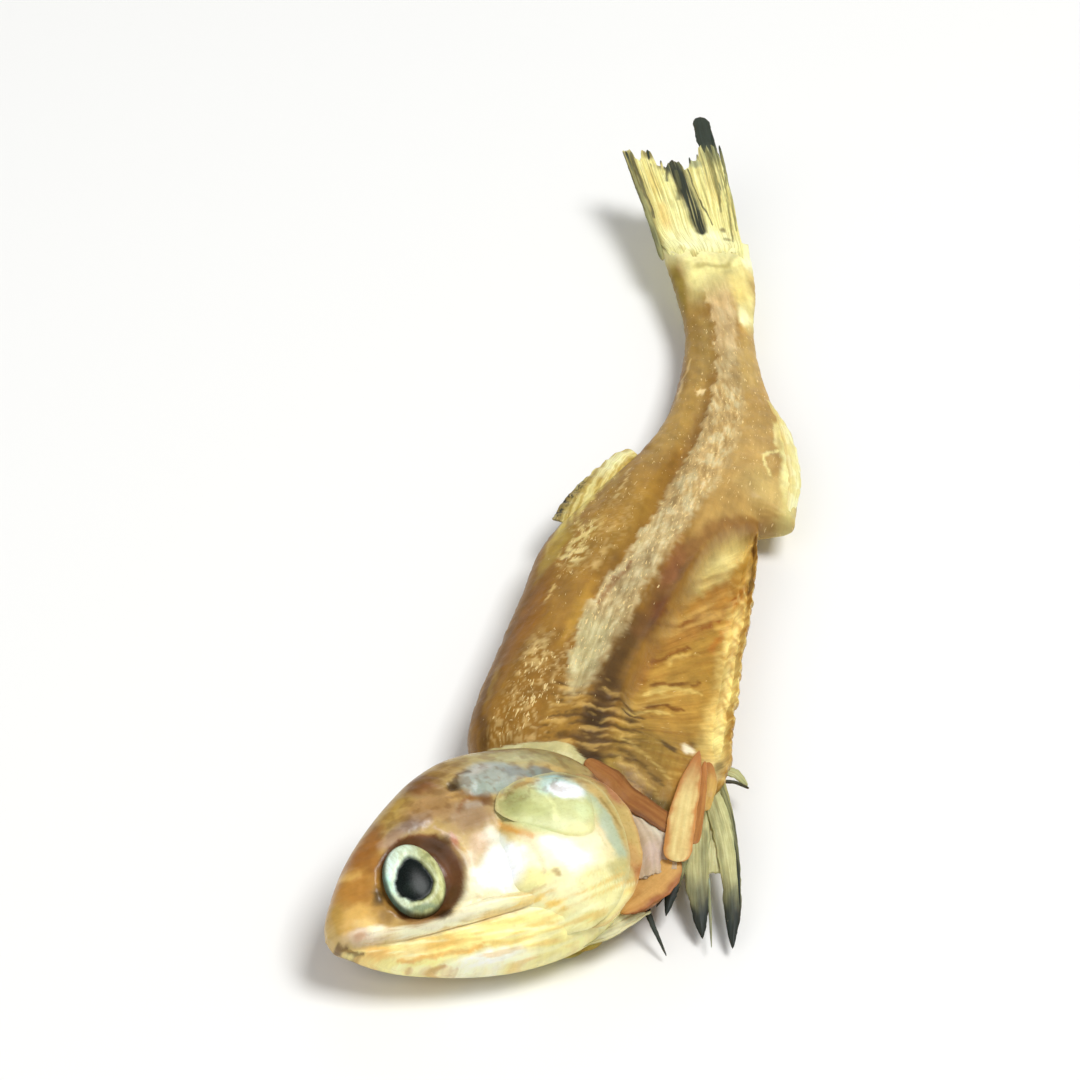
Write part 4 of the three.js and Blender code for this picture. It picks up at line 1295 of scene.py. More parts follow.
    def paint(self, x: Array, y: Array) -> Paint:
        """Colours of the head at places of its own frame, with painted highlights and painted shade."""
        chart = Chart(x, y, 0.26, 1.0, 71.0)
        fine = Chart(x, y, 0.13, 0.45, 73.0)
        paint = Paint(len(x), self.ground, wet=0.75, flecks=0.0, fibres=0.4)
        paint.marks(chart, self.crown_marks)
        paint.marks(fine, self.patch_marks)
        paint.lay(self.jaw_colour, smooth(-self.jaw_height(x, y), -0.1, 0.4) * smooth(x + 0.4 * y, -8.6, -7.2))
        paint.marks(chart, self.cheek_marks)
        paint.marks(chart, self.rim_marks)
        paint.marks(fine, self.jaw_marks)
        paint.marks(fine, self.plate_marks)
        strands = ripple(y - 0.02 * x * x, x, (0.2, 2.4), 83.0, 2)
        below_eye = smooth(-y, 2.4, 3.2)
        paint.lay((236, 190, 100), below_eye * smooth(strands, 0.12, 0.45) * 0.5)
        paint.lay((255, 252, 200), below_eye * smooth(-strands, 0.12, 0.45) * 0.5)
        paint.marks(fine, self.brow_marks)
        ring = 1 - smooth(self.socket_reach(x, y), 0.94, 1.04)
        paint.lay(self.socket_colour, ring)
        paint.lay((206, 152, 66), ring * smooth(x, 5.6, 6.4) * 0.6)
        paint.marks(fine, self.socket_marks)
        brown = smooth(ripple(x, y, (0.6, 0.5), 85.0), 0.05, 0.35) * smooth(y, 1.2, 2.4)
        paint.lay((128, 90, 44), brown * 0.4)
        paint.touch(smooth(y, 3.5, 5), fibres=0.8)
        paint.touch(below_eye, fibres=0.7)
        paint.touch(chart.spot((0.3, -1.2), (2, 2)), wet=1.0, fibres=0.1)
        # darker towards the crown: partly its browner colour, partly painted shade where the head rounds away
        paint.shade(mix(1.0, 0.82, smooth(y, 0.6, 3.0)))
        return paint.shade(1 + 0.1 * ripple(x, y, (1.8, 1.4), 81.0) + 0.08 * ripple(x, y, (0.5, 0.4), 87.0, 2))

    def skull_skin(self, along: Array, across: Array, out: Array) -> Skin:
        """Skin of the skull, from the nape to the snout."""
        x = mix(self.rear, self.snout, (1 - np.cos(math.pi * along)) / 2)
        top, bottom = self.crown(x), self.throat(x)
        y = (top + bottom) / 2 + across * (top - bottom) / 2
        relief = self.relief(x, y) * smooth(np.abs(out), 0.1, 0.6)
        z = np.sign(out) * (np.abs(out) ** self.squareness * self.half_width(x) + relief)
        points = on_floor(self.to_fish(columns(x, y, z)))
        layer = np.where(out > 0, 0.0, 5.0)
        return Skin(points, self.paint(x, y), columns(x, y, layer), columns(y, x, layer))

    def skull(self) -> Piece:
        """Makes the skull with its sockets."""
        return Modelling("skull").round(self.sides, self.rings, self.skull_skin).done(SKULL, "head")

    def eye_skin(self, side: Side) -> Callable[[Array, Array, Array], Skin]:
        """Skin of an eyeball: dark pupil, silver ring and the dark edge round it."""

        def skin(along: Array, across: Array, out: Array) -> Skin:
            """Places and colours of one eye's corners."""
            reach = np.sin(math.pi * along)
            x = self.eye_centre[0] + self.eye_radii[0] * reach * across
            y = self.eye_centre[1] + self.eye_radii[1] * reach * out
            u = (x - self.pupil_centre[0]) / self.pupil_radii[0]
            v = (y - self.pupil_centre[1]) / self.pupil_radii[1]
            squeeze = 1 + 0.28 * np.clip(v, -1, 1) - 0.1 * np.clip(u, -1, 1)
            pupil_reach = np.hypot(u * squeeze, v) + 0.09 * ripple(x, y, (0.7, 0.7), 3.0)
            pupil = 1 - smooth(pupil_reach, 0.9, 1.06)
            bulge = -np.cos(math.pi * along) * self.eye_radii[2]
            swell = 0.14 * hump(pupil_reach, 1, 1.4, 0.5) - 0.12 * pupil
            seat = self.half_width(self.eye_centre[0]) - self.socket_depth
            z = side.value * (seat + bulge + np.where(along > 0.5, swell, 0))
            chart = Chart(x, y, 0.16, 0.5, 91.0)
            paint = Paint(len(x), self.eye_ring, wet=1.0, fibres=0.5)
            paint.lay((206, 222, 194), smooth(x + 0.4 * y, 3.9, 4.9))
            paint.lay((228, 250, 234), chart.spot((5.5, 0.1), (0.36, 1.2), 12, 0.7) * 0.95)
            paint.lay((196, 240, 216), chart.spot((5.85, -0.6), (0.16, 0.8), 4, 0.7) * 0.9)
            paint.lay((214, 216, 152), chart.line([(3.6, 0.8), (3.2, -0.4), (3.5, -1.8)], 0.4, 0.8) * 0.85)
            paint.lay((144, 148, 96), chart.line([(3.3, 0.6), (3.75, 0.2), (3.6, -0.6)], 0.26, 0.8) * 0.8)
            paint.lay((132, 148, 116), chart.spot((4.6, -2.2), (0.9, 0.22), 4) * 0.8)
            paint.lay((220, 226, 184), hump(pupil_reach, 1.0, 1.12, 0.14) * 0.5)
            edge = smooth(reach, 0.9, 1.0)
            paint.lay(self.eye_edge, edge * 0.9)
            paint.lay((74, 104, 92), edge * smooth(x, 5.0, 5.8) * 0.8)
            paint.lay(self.pupil_colour, pupil)
            paint.lay((34, 44, 38), chart.spot((4.7, -1.1), (0.6, 0.4)) * pupil * 0.5)
            paint.touch(pupil, wet=0.7)
            points = self.to_fish(columns(x, y, z))
            return Skin(on_floor(points), paint, columns(x, y, np.full_like(x, side.value)))

        return skin

    def eye(self, side: Side) -> Piece:
        """Makes one eye."""
        return Modelling(f"eye_{side.name.lower()}").round(96, 72, self.eye_skin(side)).done(EYE, "eye")

    def plate(self, name: str, side: Side, shape: "Plate") -> Piece:
        """Makes a thin plate that lies on the head.

        Args:
            name: the piece's name, without its side.
            side: the flank it is on.
            shape: its outline and heights.

        Returns:
            The piece.
        """
        edge = spline([*shape.outline, shape.outline[0]], PLATE_POINTS)
        middle = edge.mean(0)
        u, v = (edge - middle).T
        angles, radii = np.arctan2(v, u), np.hypot(u, v)
        order = np.argsort(angles)

        def skin(along: Array, across: Array, out: Array) -> Skin:
            """Places and colours of the plate's corners."""
            reach = np.sin(math.pi * along)
            turn = np.arctan2(out, across)
            radius = np.interp(turn, angles[order], radii[order], period=FULL_TURN)
            uneven = ripple(np.cos(turn) * 4, np.sin(turn) * 4, (1, 1), shape.lift * 90 + middle[0])
            radius = radius * (1 + 0.02 * uneven)
            x = middle[0] + radius * reach * across
            y = middle[1] + radius * reach * out
            base = self.cheek(x, y) + 0.75 * self.relief(x, y)
            if shape.dished:
                base = np.maximum(base, self.dish(x, y))
            shell = -np.cos(math.pi * along) * shape.thickness / 2
            inwards = smooth(across * shape.buried_way[0] + out * shape.buried_way[1], -0.2, 0.5)
            buried = shape.buried * smooth(reach, 0.55, 1.0) * inwards
            z = side.value * (base + shape.lift * (1 - 0.35 * reach**4) - buried + shell)
            paint = self.paint(x, y)
            paint.lay(shape.edge_colour, smooth(reach, 0.93, 1.0) * 0.5)
            paint.touch(1.0, wet=0.9, fibres=0.3)
            points = on_floor(self.to_fish(columns(x, y, z)))
            layer = np.full_like(x, shape.lift * 10 + side.value)
            return Skin(points, paint, columns(x, y, layer), columns(y, x, layer))

        return Modelling(f"{name}_{side.name.lower()}").round(*shape.faces, skin).done(SKULL, "head")

    def build(self) -> None:
        """Makes every piece of the head."""
        self.skull()
        for side in Side:
            self.eye(side)
            self.plate("gill_rim", side, GILL_RIM)
            self.plate("gill_cover", side, GILL_COVER)
            self.plate("glassy_plate", side, GLASSY_PLATE)
            self.plate("upper_jaw", side, UPPER_JAW)


@dataclass(frozen=True)
class Plate:
    """Outline and heights of a thin plate of the head, in the head's frame."""

    outline: Places
    lift: float
    thickness: float
    faces: tuple[int, int]
    dished: bool = True
    buried: float = 0.0
    buried_way: Pair = (1.0, 0.0)
    edge_colour: Colour = (206, 196, 136)


GILL_COVER = Plate(
    outline=(
        (0.4, 1.2), (-1.6, 2.9), (-4.2, 3.2), (-5.7, 2.5), (-6.3, 1.2), (-6.5, -0.6), (-6.3, -2.4), (-5.6, -3.8),
        (-4.2, -4.8), (-2.2, -5.0), (-0.4, -4.3), (0.6, -3.0), (0.8, -0.8),
    ),
    lift=0.12, thickness=0.2, faces=(150, 90), buried=0.6,
)
GILL_RIM = Plate(
    outline=(
        (-1.5, 1.2), (-2.8, 3.0), (-5.0, 3.2), (-6.5, 2.3), (-7.2, 0.8), (-7.35, -0.8), (-7.0, -2.6), (-5.9, -4.1),
        (-4.0, -5.0), (-2.4, -4.0), (-1.6, -1.0),
    ),
    lift=-0.1, thickness=0.2, faces=(140, 60), buried=0.5, edge_colour=(188, 128, 74),
)
GLASSY_PLATE = Plate(
    outline=(
        (-0.35, 1.7), (-0.7, 2.4), (-1.4, 2.85), (-2.4, 3.1), (-3.6, 2.9), (-4.7, 2.6), (-5.3, 1.6), (-5.2, 0.2),
        (-4.8, -0.9), (-3.6, -0.9), (-2.1, 0.0), (-0.9, 0.9),
    ),
    lift=0.24, thickness=0.2, faces=(110, 56),
)
UPPER_JAW = Plate(
    outline=(
        (8.4, -2.2), (7.2, -2.2), (5.4, -2.6), (3.2, -2.7), (1.2, -2.5), (-0.7, -2.7), (-1.5, -3.1), (-0.8, -3.35),
        (1.4, -3.42), (4.2, -3.38), (6.6, -3.1), (8.0, -2.6),
    ),
    lift=0.1, thickness=0.2, faces=(120, 36), dished=False, buried=0.3, buried_way=(0.0, 1.0),
    edge_colour=(226, 190, 128),
)


# ---- blades: rays, bars and shreds


@dataclass
class Blade:
    """Flat tapering strip along a path: a fin ray, a bone or a shred of skin."""

    path: Places
    width: float
    thickness: float = 0.16
    colours: tuple[Colour, Colour] = ((198, 184, 108), (120, 112, 70))
    dark: Pair = (2.0, 3.0)
    dark_colour: Colour = (38, 44, 38)
    tip: float = 0.15
    taper: float = 1.6
    seed: float = 0.0
    edge_colour: Colour | None = None
    streaks: float = 0.6
    fibres: float = 0.6
    start: float = 1.0
    jag: float = 0.16

    def skin(self, along: Array, across: Array, out: Array) -> Skin:
        """Places and colours of the blade's corners."""
        way = spline(self.path, PATH_POINTS)
        length = run_along(way)[-1]
        spot = along * (PATH_POINTS - 1)
        ahead = at_steps(np.gradient(way, axis=0), spot)
        ahead = ahead / np.linalg.norm(ahead, axis=1, keepdims=True)
        side = np.cross(ahead, (0.0, 0.0, 1.0))
        side = side / np.linalg.norm(side, axis=1, keepdims=True)
        up = np.cross(side, ahead)
        profile = np.sqrt(np.clip(1 - (2 * along - 1) ** 14, 0, 1)) * mix(1.0, self.tip, along**self.taper)
        profile = profile * mix(self.start, 1.0, smooth(along, 0, 0.35))
        jag = 1 + self.jag * ripple(along * 9, across, (1, 2), self.seed + 0.3, 4)
        jag = jag + self.jag * 0.5 * ripple(along * length * 2.2, across, (1, 2), self.seed + 0.7, 3)
        half = self.width / 2 * profile * jag
        lumps = 1 + 0.25 * ripple(along * 5, across * 2, (1, 1), self.seed)
        rise = self.thickness / 2 * np.sqrt(np.clip(1 - (2 * along - 1) ** 10, 0, 1)) * lumps
        points = at_steps(way, spot) + side * (half * across)[:, None] + up * (rise * out)[:, None]
        paint = Paint(len(along), self.colours[0], wet=0.5, flecks=0.02, fibres=self.fibres)
        lines = ripple(across * self.width, along * length, (0.3, 3.0), self.seed + 4.0, 3)
        paint.lay(self.colours[1], smooth(lines, -0.1, 0.4) * self.streaks)
        if self.edge_colour:
            outwards = np.abs(across) + 0.25 * ripple(across, along * length, (1.0, 1.0), self.seed + 6.0)
            paint.lay(self.edge_colour, smooth(outwards, 0.55, 0.95) * 0.9)
        tipwards = along + 0.08 * ripple(across * self.width, along * length, (0.2, 1.5), self.seed + 8.0)
        paint.lay(self.dark_colour, smooth(tipwards, *self.dark))
        place = columns(across * half, along * length, np.full_like(along, self.seed))
        return Skin(on_floor(points), paint, place)


def add_blades(piece: Modelling, blades: Sequence[Blade], sides: int = 12, rings: int = 40) -> Modelling:
    """Adds blades to a piece."""
    for blade in blades:
        piece.round(sides, rings, blade.skin)
    return piece


def blades_of(
    rows: Sequence[tuple], fields: str, seed: float, place: Callable[[Places], Places] = list, **shared: object,
) -> list[Blade]:
    """Blades from a table.

    Args:
        rows: for each blade its path, and then its own values.
        fields: names of those values, in order.
        seed: seed of the first blade; each next one has 1 more.
        place: settles a path on what carries it.
        shared: values that all of them have.

    Returns:
        The blades.
    """
    names = fields.split()
    return [Blade(place(path), **dict(zip(names, own)), seed=seed + i, **shared) for i, (path, *own) in enumerate(rows)]


def web_surface(
    edges: tuple[Places, Places], marks: Marks, ground: Colour, pleats: int, seed: float,
) -> Callable[[Array, Array], Skin]:
    """Surface of a web between two paths of the fish's frame, with its colours placed by across and along.

    Args:
        edges: the two paths, both from the root outwards.
        marks: colours, placed by the share across and the share along.
        ground: the colour under them.
        pleats: how many pleats it has.
        seed: picks another pattern.

    Returns:
        The skin as a function of the shares across and along.
    """
    ends = [spline(edge, WEB_POINTS) for edge in edges]

    def surface(across: Array, along: Array) -> Skin:
        """Places and colours of the web's corners."""
        torn = along * (1 + 0.04 * wander(across, 5, seed))
        spot = np.clip(torn, 0, 1) * (WEB_POINTS - 1)
        points = mix(at_steps(ends[0], spot), at_steps(ends[1], spot), across[:, None])
        folds = 0.03 * np.cos(FULL_TURN * pleats * across)
        points[:, 2] += folds + 0.1 * ripple(across * 3, along * 3, (1, 1), seed + 1)
        chart = Chart(across, along, 0.05, 0.25, seed + 2)
        paint = Paint(len(across), ground, wet=0.5, fibres=0.7).marks(chart, marks)
        lines = ripple(across, along, (0.12, 1.0), seed + 3, 2)
        paint.shade(1 + 0.2 * lines)
        size = np.linalg.norm(ends[0][-1] - ends[0][0])
        place = columns(across * np.linalg.norm(ends[0][0] - ends[1][0]), along * size, seed)
        return Skin(on_floor(points), paint, place)

    return surface


# ---- fins


@dataclass
class Fins:
    """Tail, folded back and anal fins, and the loose paired fins."""

    trunk: Trunk
    tail_height: float = 2.9
    tail_curl: float = 1.9
    tail_root: float = 52.0
    tail_end: float = 63.4
    tail_axis: float = 18.5
    tail_station: float = 1.9
    web_start: float = 52.4
    ray_pitch: float = 5.4
    anal_reach: Pair = (28.5, 38.0)
    fold_thickness: float = 0.14
    web_colour: Colour = (232, 222, 146)
    back_fin_colour: Colour = (194, 168, 88)
    anal_fin_colour: Colour = (234, 222, 150)
    web_thickness: float = 0.12
    tail_left: Stations = ((52.4, 16.4), (54.4, 15.95), (56.2, 15.35), (60.0, 14.55), (63.4, 13.9))
    tail_right: Stations = ((52.4, 20.6), (54.4, 20.9), (56.0, 20.9), (60.0, 20.7), (63.6, 20.4))
    # share across the tail, and how far its torn end reaches there
    tail_outline: Stations = (
        (0.0, 63.1), (0.08, 63.0), (0.13, 62.2), (0.2, 63.1), (0.27, 63.1), (0.31, 62.0), (0.38, 61.8), (0.46, 62.3),
        (0.54, 62.1), (0.6, 61.7), (0.68, 62.4), (0.76, 62.7), (0.8, 63.6), (0.86, 64.2), (0.92, 63.6), (0.97, 63.0),
        (1.0, 61.0),
    )
    tail_marks: Marks = (
        Dab((248, 244, 184), (18.2, 55.3), (2.4, 1.5), 0, 0.9),
        Dab((244, 238, 172), (16.9, 56.4), (1.0, 1.3), 0, 0.8),
        Dab((238, 232, 164), (17.0, 58.6), (0.9, 1.8), 6, 0.7),
        Dab((226, 190, 110), (16.2, 57.6), (0.4, 1.4), 8, 0.6),
        Dab((214, 186, 100), (15.7, 60.6), (0.4, 1.4), 8, 0.6),
        Dab((210, 188, 112), (19.6, 60.2), (0.5, 1.8), 2, 0.5),
        Dab((182, 168, 92), (18.2, 53.4), (1.2, 0.4), 10, 0.6),
        Stroke((186, 166, 98), ((16.9, 54.4), (17.6, 53.6), (18.4, 53.1), (19.6, 53.7), (20.2, 54.1)), 0.5, 0.5, 0.9,
            0.0),
        Stroke((150, 140, 84), ((15.7, 52.6), (15.6, 54.6), (15.35, 57.0), (14.9, 59.4), (14.3, 62.8)), 0.75, 0.85, 0.6,
            0.0),
        Stroke((96, 92, 62), ((15.35, 55.0), (15.1, 57.4), (14.6, 60.0), (14.05, 62.9)), 0.26, 0.9, 0.6, 0.0),
        Stroke((84, 82, 58), ((15.5, 57.6), (15.05, 60.0), (14.5, 62.8)), 0.22, 0.85, 0.6, 0.0),
        Dab((104, 92, 52), (15.6, 62.9), (0.42, 0.5), 0, 0.85),
        Stroke((88, 92, 66), ((18.45, 56.3), (18.2, 57.7), (17.85, 59.4), (17.5, 60.9), (17.2, 62.2)), 1.0, 0.9, 0.5,
            -0.3),
        Stroke((50, 56, 46), ((18.48, 56.2), (18.25, 57.6), (17.8, 59.3), (17.5, 60.7), (17.0, 62.0)), 0.6, 0.97, 0.4,
            -0.5),
        Dab((64, 68, 52), (16.75, 61.95), (0.75, 0.42), 0, 0.9),
        Stroke((72, 76, 58), ((16.6, 60.6), (16.75, 61.4), (16.85, 62.1)), 0.3, 0.85),
        Stroke((96, 96, 62), ((17.2, 59.0), (17.35, 60.0), (17.3, 61.4)), 0.34, 0.7),
        Stroke((74, 76, 52), ((19.2, 56.9), (18.7, 58.6), (18.3, 60.2), (18.1, 61.6)), 0.13, 0.9, 0.6, 0.0),
        Dab((106, 98, 56), (19.85, 56.4), (0.2, 0.3), 0, 0.8),
        Dab((124, 114, 62), (19.95, 55.4), (0.28, 0.24), 0, 0.7),
        Dab((140, 146, 112), (18.6, 62.2), (0.6, 0.5), 0, 0.8),
        Stroke((124, 122, 70), ((20.3, 55.2), (20.4, 57.6), (20.3, 60.4), (20.1, 63.2)), 0.14, 0.8, 0.6, 0.0),
        Stroke((110, 110, 66), ((19.9, 58.0), (19.85, 60.4), (19.6, 63.2)), 0.16, 0.8, 0.6, 0.0),
        Stroke((124, 122, 74), ((20.75, 56.5), (20.7, 59.4), (20.5, 62.8)), 0.16, 0.8, 0.6, 0.0),
        Dab((100, 104, 72), (19.9, 63.2), (0.9, 1.3), 0, 0.8),
    )

    def tail_z(self, y: Amount) -> Array:
        """Height of the tail's middle at a distance along the fish."""
        along = np.clip((np.asarray(y, float) - self.tail_root) / (self.tail_end - self.tail_root), 0, 1.4)
        return self.tail_height + self.tail_curl * along**1.4

    def on_tail(self, plan: Places) -> Places:
        """A ray's path over the tail, from its path on the plan: it rises a little out of the web."""
        last = len(plan) - 1
        return [(x, y, float(self.tail_z(y)) + mix(-0.02, 0.1, i / last)) for i, (x, y) in enumerate(plan)]

    def tail_web(self) -> Piece:
        """Makes the web of the tail, which grows out of the flank's skin and is torn off at its end."""
        left, right, end = through(self.tail_left), through(self.tail_right), through(self.tail_outline)

        def surface(across: Array, along: Array) -> Skin:
            """Places and colours of the web."""
            torn = 0.2 * wander(across, 11, 2.0) + 0.2 * wander(across, 44, 3.0, 2)
            reach = end(across) + torn * smooth(along, 0.7, 1)
            y = mix(self.web_start, reach, along)
            x = mix(left(y), right(y), across)
            station, below = y - self.tail_station, x - self.tail_axis
            trunk = self.trunk.top(np.minimum(station, self.trunk.length - 0.15), below)[:, 2] + 0.05
            free = smooth(y, 55.5, 58.5)
            pleats = 0.035 * np.cos(FULL_TURN * 15 * across) * smooth(along, 0.25, 0.6)
            sunk = 0.34 * (1 - smooth(along + 0.07 * ripple(x, y, (0.7, 0.9), 7.0), 0.02, 0.22))
            z = mix(trunk, self.tail_z(y) + 0.1, free) + pleats - sunk + 0.1 * ripple(x, y, (1.5, 3), 5.0) * free
            chart = Chart(x, y, 0.12, 1.4, 131.0)
            paint = Paint(len(x), self.web_colour, wet=0.4, fibres=1.0)
            rays = ripple(across * self.ray_pitch, along, (0.22, 0.8), 6.0, 3)
            tipward = smooth(y, 56.5, 60)
            paint.lay((206, 190, 114), smooth(rays, 0.05, 0.45) * mix(0.1, 0.5, tipward))
            paint.lay((246, 240, 176), smooth(-rays, 0.05, 0.4) * mix(0.2, 0.6, tipward))
            paint.lay((238, 228, 154), (1 - smooth(y, 53.6, 56.4)) * 0.7)
            paint.marks(chart, self.tail_marks)
            hairs = ripple(across * self.ray_pitch, along * 2, (0.09, 1.0), 8.0, 2)
            paint.lay((112, 106, 62), smooth(hairs, 0.2, 0.5) * tipward * smooth(np.abs(across - 0.5), 0.1, 0.35) * 0.7)
            paint.lay((206, 196, 130), smooth(-hairs, 0.22, 0.5) * smooth(y, 55.5, 57.5) * 0.5)
            paint.shade(1 + 0.12 * ripple(x, y, (1.4, 2.0), 9.0))
            return Skin(columns(x, y, z), paint, columns(x, y, 0), columns(across * self.ray_pitch, y, 0))

        return Modelling("tail_web").sheet(190, 150, surface).done(FIN, "fin", self.web_thickness)

    def tail_rays(self) -> Piece:
        """Makes the rays that stand out of the tail's web: its left edge, the dark streak and the torn tips."""
        cream, tan = (226, 214, 140), (186, 168, 96)
        olive, dark = (146, 144, 96), (78, 82, 62)
        rays = (
            (((15.65, 53.6), (15.25, 57.0), (14.7, 60.2), (14.15, 63.2)), 0.42, (olive, dark), (0.7, 1.0), 0.9),
            (((19.85, 59.4), (19.85, 61.6), (19.6, 63.8), (19.38, 66.2)), 1.15, (olive, dark), (0.42, 0.66), 0.95),
            (((20.2, 59.0), (20.15, 61.6), (20.0, 64.8)), 0.34, (olive, dark), (0.6, 0.85), 0.5),
            (((20.6, 58.6), (20.55, 61.4), (20.4, 63.8)), 0.26, (olive, dark), (0.75, 1.0), 0.5),
            (((15.9, 60.4), (15.75, 62.0), (15.6, 63.3)), 0.3, (cream, tan), (0.4, 0.8), 0.6),
            (((16.5, 59.4), (16.45, 61.0), (16.4, 62.4)), 0.22, (cream, tan), (0.8, 1.0), 0.5),
            (((19.0, 58.6), (18.95, 60.8), (18.85, 63.0)), 0.24, (cream, tan), (0.8, 1.0), 0.5),
            (((18.5, 60.0), (18.4, 61.4), (18.3, 62.7)), 0.2, (cream, olive), (0.6, 0.9), 0.5),
        )
        shared = {"thickness": 0.2, "taper": 4.0, "dark_colour": (52, 60, 50)}
        blades = blades_of(rays, "width colours dark tip", 3.0, self.on_tail, **shared)
        return add_blades(Modelling("tail_rays"), blades, 12, 60).done(FIN, "fin")

    def back_fin(self) -> Piece:
        """Makes the folded back fin, a pale leaf with a dark speckled edge."""
        outer_edge = (
            (6.2, 28.3, 2.9), (7.0, 29.8, 3.0), (7.8, 30.9, 3.1), (8.65, 31.9, 3.2), (9.7, 33.0, 3.3),
            (10.6, 33.8, 3.4), (11.2, 34.0, 3.4), (11.7, 33.6, 3.3),
        )
        inner_edge = ((7.5, 25.6, 4.2), (8.9, 28.0, 4.1), (9.9, 29.9, 4.0), (10.8, 31.5, 3.9), (11.6, 32.9, 3.4))
        outer, inner = spline(outer_edge, FIN_POINTS), spline(inner_edge, FIN_POINTS)

        def surface(across: Array, along: Array) -> Skin:
            """Places and colours of the folded fin."""
            spot = across * (FIN_POINTS - 1)
            jag = 1 + 0.06 * wander(across, 16, 12.0, 4)
            point = mix(at_steps(inner, spot), at_steps(outer, spot), (along * jag)[:, None])
            folds = 0.05 * np.sin(FULL_TURN * (across * 9 + along))
            point[:, 2] += 0.3 * np.sin(math.pi * along) - 0.5 * (1 - along) ** 2 + folds
            u, v = across * 10, along * 2.4
            chart = Chart(u, v, 0.3, 0.8, 141.0)
            paint = Paint(len(u), self.back_fin_colour, wet=0.5, flecks=0.2, fibres=0.6)
            lines = ripple(v - 0.16 * u, u, (0.3, 4.0), 14.0, 3)
            paint.lay((232, 220, 148), smooth(-lines, 0.0, 0.35) * 0.7)
            paint.lay((160, 132, 58), smooth(lines, 0.05, 0.4) * 0.6)
            paint.lay((180, 142, 56), (1 - smooth(along, 0.0, 0.45)) * 0.7)
            paint.lay((246, 240, 180), chart.spot((7.6, 1.7), (2.4, 0.7), 0, 0.8) * 0.85)
            specks = smooth(ripple(u, v, (0.3, 0.22), 16.0), -0.05, 0.25)
            dark = smooth(along, 0.62, 0.95) * (1 - smooth(across, 0.3, 0.62))
            paint.lay((86, 78, 48), dark * 0.55)
            paint.lay((38, 38, 26), specks * dark)
            return Skin(on_floor(point), paint, columns(u, v, 0), columns(v - 0.16 * u, u, 0))

        return Modelling("back_fin").sheet(160, 40, surface).done(FIN, "fin", self.fold_thickness)

    def anal_fin(self) -> Piece:
        """Makes the anal fin, folded along the belly edge behind the vent."""
        stations = np.linspace(*self.anal_reach, FIN_POINTS)
        root = self.trunk.top(stations, self.trunk.ventral(stations) - 0.8)
        middle, outward = self.trunk.middle(stations)
        rise = np.sin(math.pi * np.linspace(0.01, 0.99, FIN_POINTS)) ** 0.8
        reach = self.trunk.ventral(stations) - 0.3 + 0.5 * rise
        outer = np.concatenate([middle[:, :2] + outward * reach[:, None], middle[:, 2:] + 0.35], 1)

        def surface(across: Array, along: Array) -> Skin:
            """Places and colours of the folded fin."""
            spot = across * (FIN_POINTS - 1)
            jag = 1 + 0.08 * wander(across, 14, 18.0, 4)
            point = mix(at_steps(root, spot), at_steps(outer, spot), (along * jag)[:, None])
            rays = 0.03 * np.sin(FULL_TURN * (across * 13 - along * 0.9))
            point[:, 2] += 0.16 * np.sin(math.pi * along) + rays * smooth(along, 0.1, 0.4) - 0.25 * (1 - along) ** 3
            u, v = across * 9, along * 1.7
            paint = Paint(len(u), self.anal_fin_colour, wet=0.6, fibres=0.5)
            paint.lay((250, 246, 190), smooth(ripple(u, v, (1.4, 0.7), 19.0), -0.1, 0.3) * 0.8)
            paint.lay((212, 182, 112), (1 - smooth(along, 0.0, 0.75)) * 0.9)
            paint.lay((204, 176, 100), smooth(across, 0.75, 1.0) * 0.6)
            return Skin(on_floor(point), paint, columns(u, v, 0), columns(v, u, 0))

        return Modelling("anal_fin").sheet(150, 24, surface).done(FIN, "fin", self.fold_thickness)

    def pectorals(self) -> Piece:
        """Makes the loose breast fins: broad olive blades with black tips."""
        khaki, moss, ink, ash = (196, 192, 136), (138, 136, 92), (44, 50, 42), (132, 140, 120)
        rays = (
            (((11.7, 6.4, 2.8), (11.4, 3.4, 2.3), (11.15, 0.8, 1.7), (11.16, -2.1, 0.6)), 1.35, 0.26, (khaki, moss),
                (0.5, 0.86), 0.12, 5.0),
            (((12.4, 6.5, 2.9), (12.8, 3.4, 2.4), (12.9, 0.6, 1.7), (12.62, -2.8, 0.6)), 1.15, 0.26, (khaki, moss),
                (0.46, 0.84), 0.14, 5.0),
            (((12.9, 7.4, 3.0), (13.3, 4.8, 2.6), (13.35, 2.0, 2.1), (13.2, -0.6, 1.4)), 0.3, 0.2, (moss, ink),
                (0.3, 0.9), 0.2, 3.0),
            (((10.5, 2.6, 2.2), (9.95, 1.0, 1.9), (9.34, -0.95, 1.1)), 0.85, 0.24, (moss, ink), (0.3, 0.6), 0.1, 3.0),
            (((10.2, 2.0, 2.0), (9.6, 0.6, 1.7), (8.9, -0.4, 1.2)), 0.4, 0.2, (moss, ink), (0.3, 0.7), 0.2, 2.0),
            (((8.3, -0.4, 1.7), (8.4, -1.3, 1.5), (9.2, -3.05, 0.4)), 0.4, 0.2, (ink, (66, 70, 60)), (2.0, 3.0), 0.08,
                1.6),
            (((11.75, 1.2, 1.8), (11.65, -0.8, 1.2), (11.54, -2.7, 0.6)), 0.2, 0.14, (ash, moss), (2.0, 3.0), 0.3, 2.0),
        )
        blades = blades_of(rays, "width thickness colours dark tip taper", 60.0, streaks=0.8, fibres=0.9)
        return add_blades(Modelling("breast_fins"), blades, 16, 64).done(FIN, "fin")

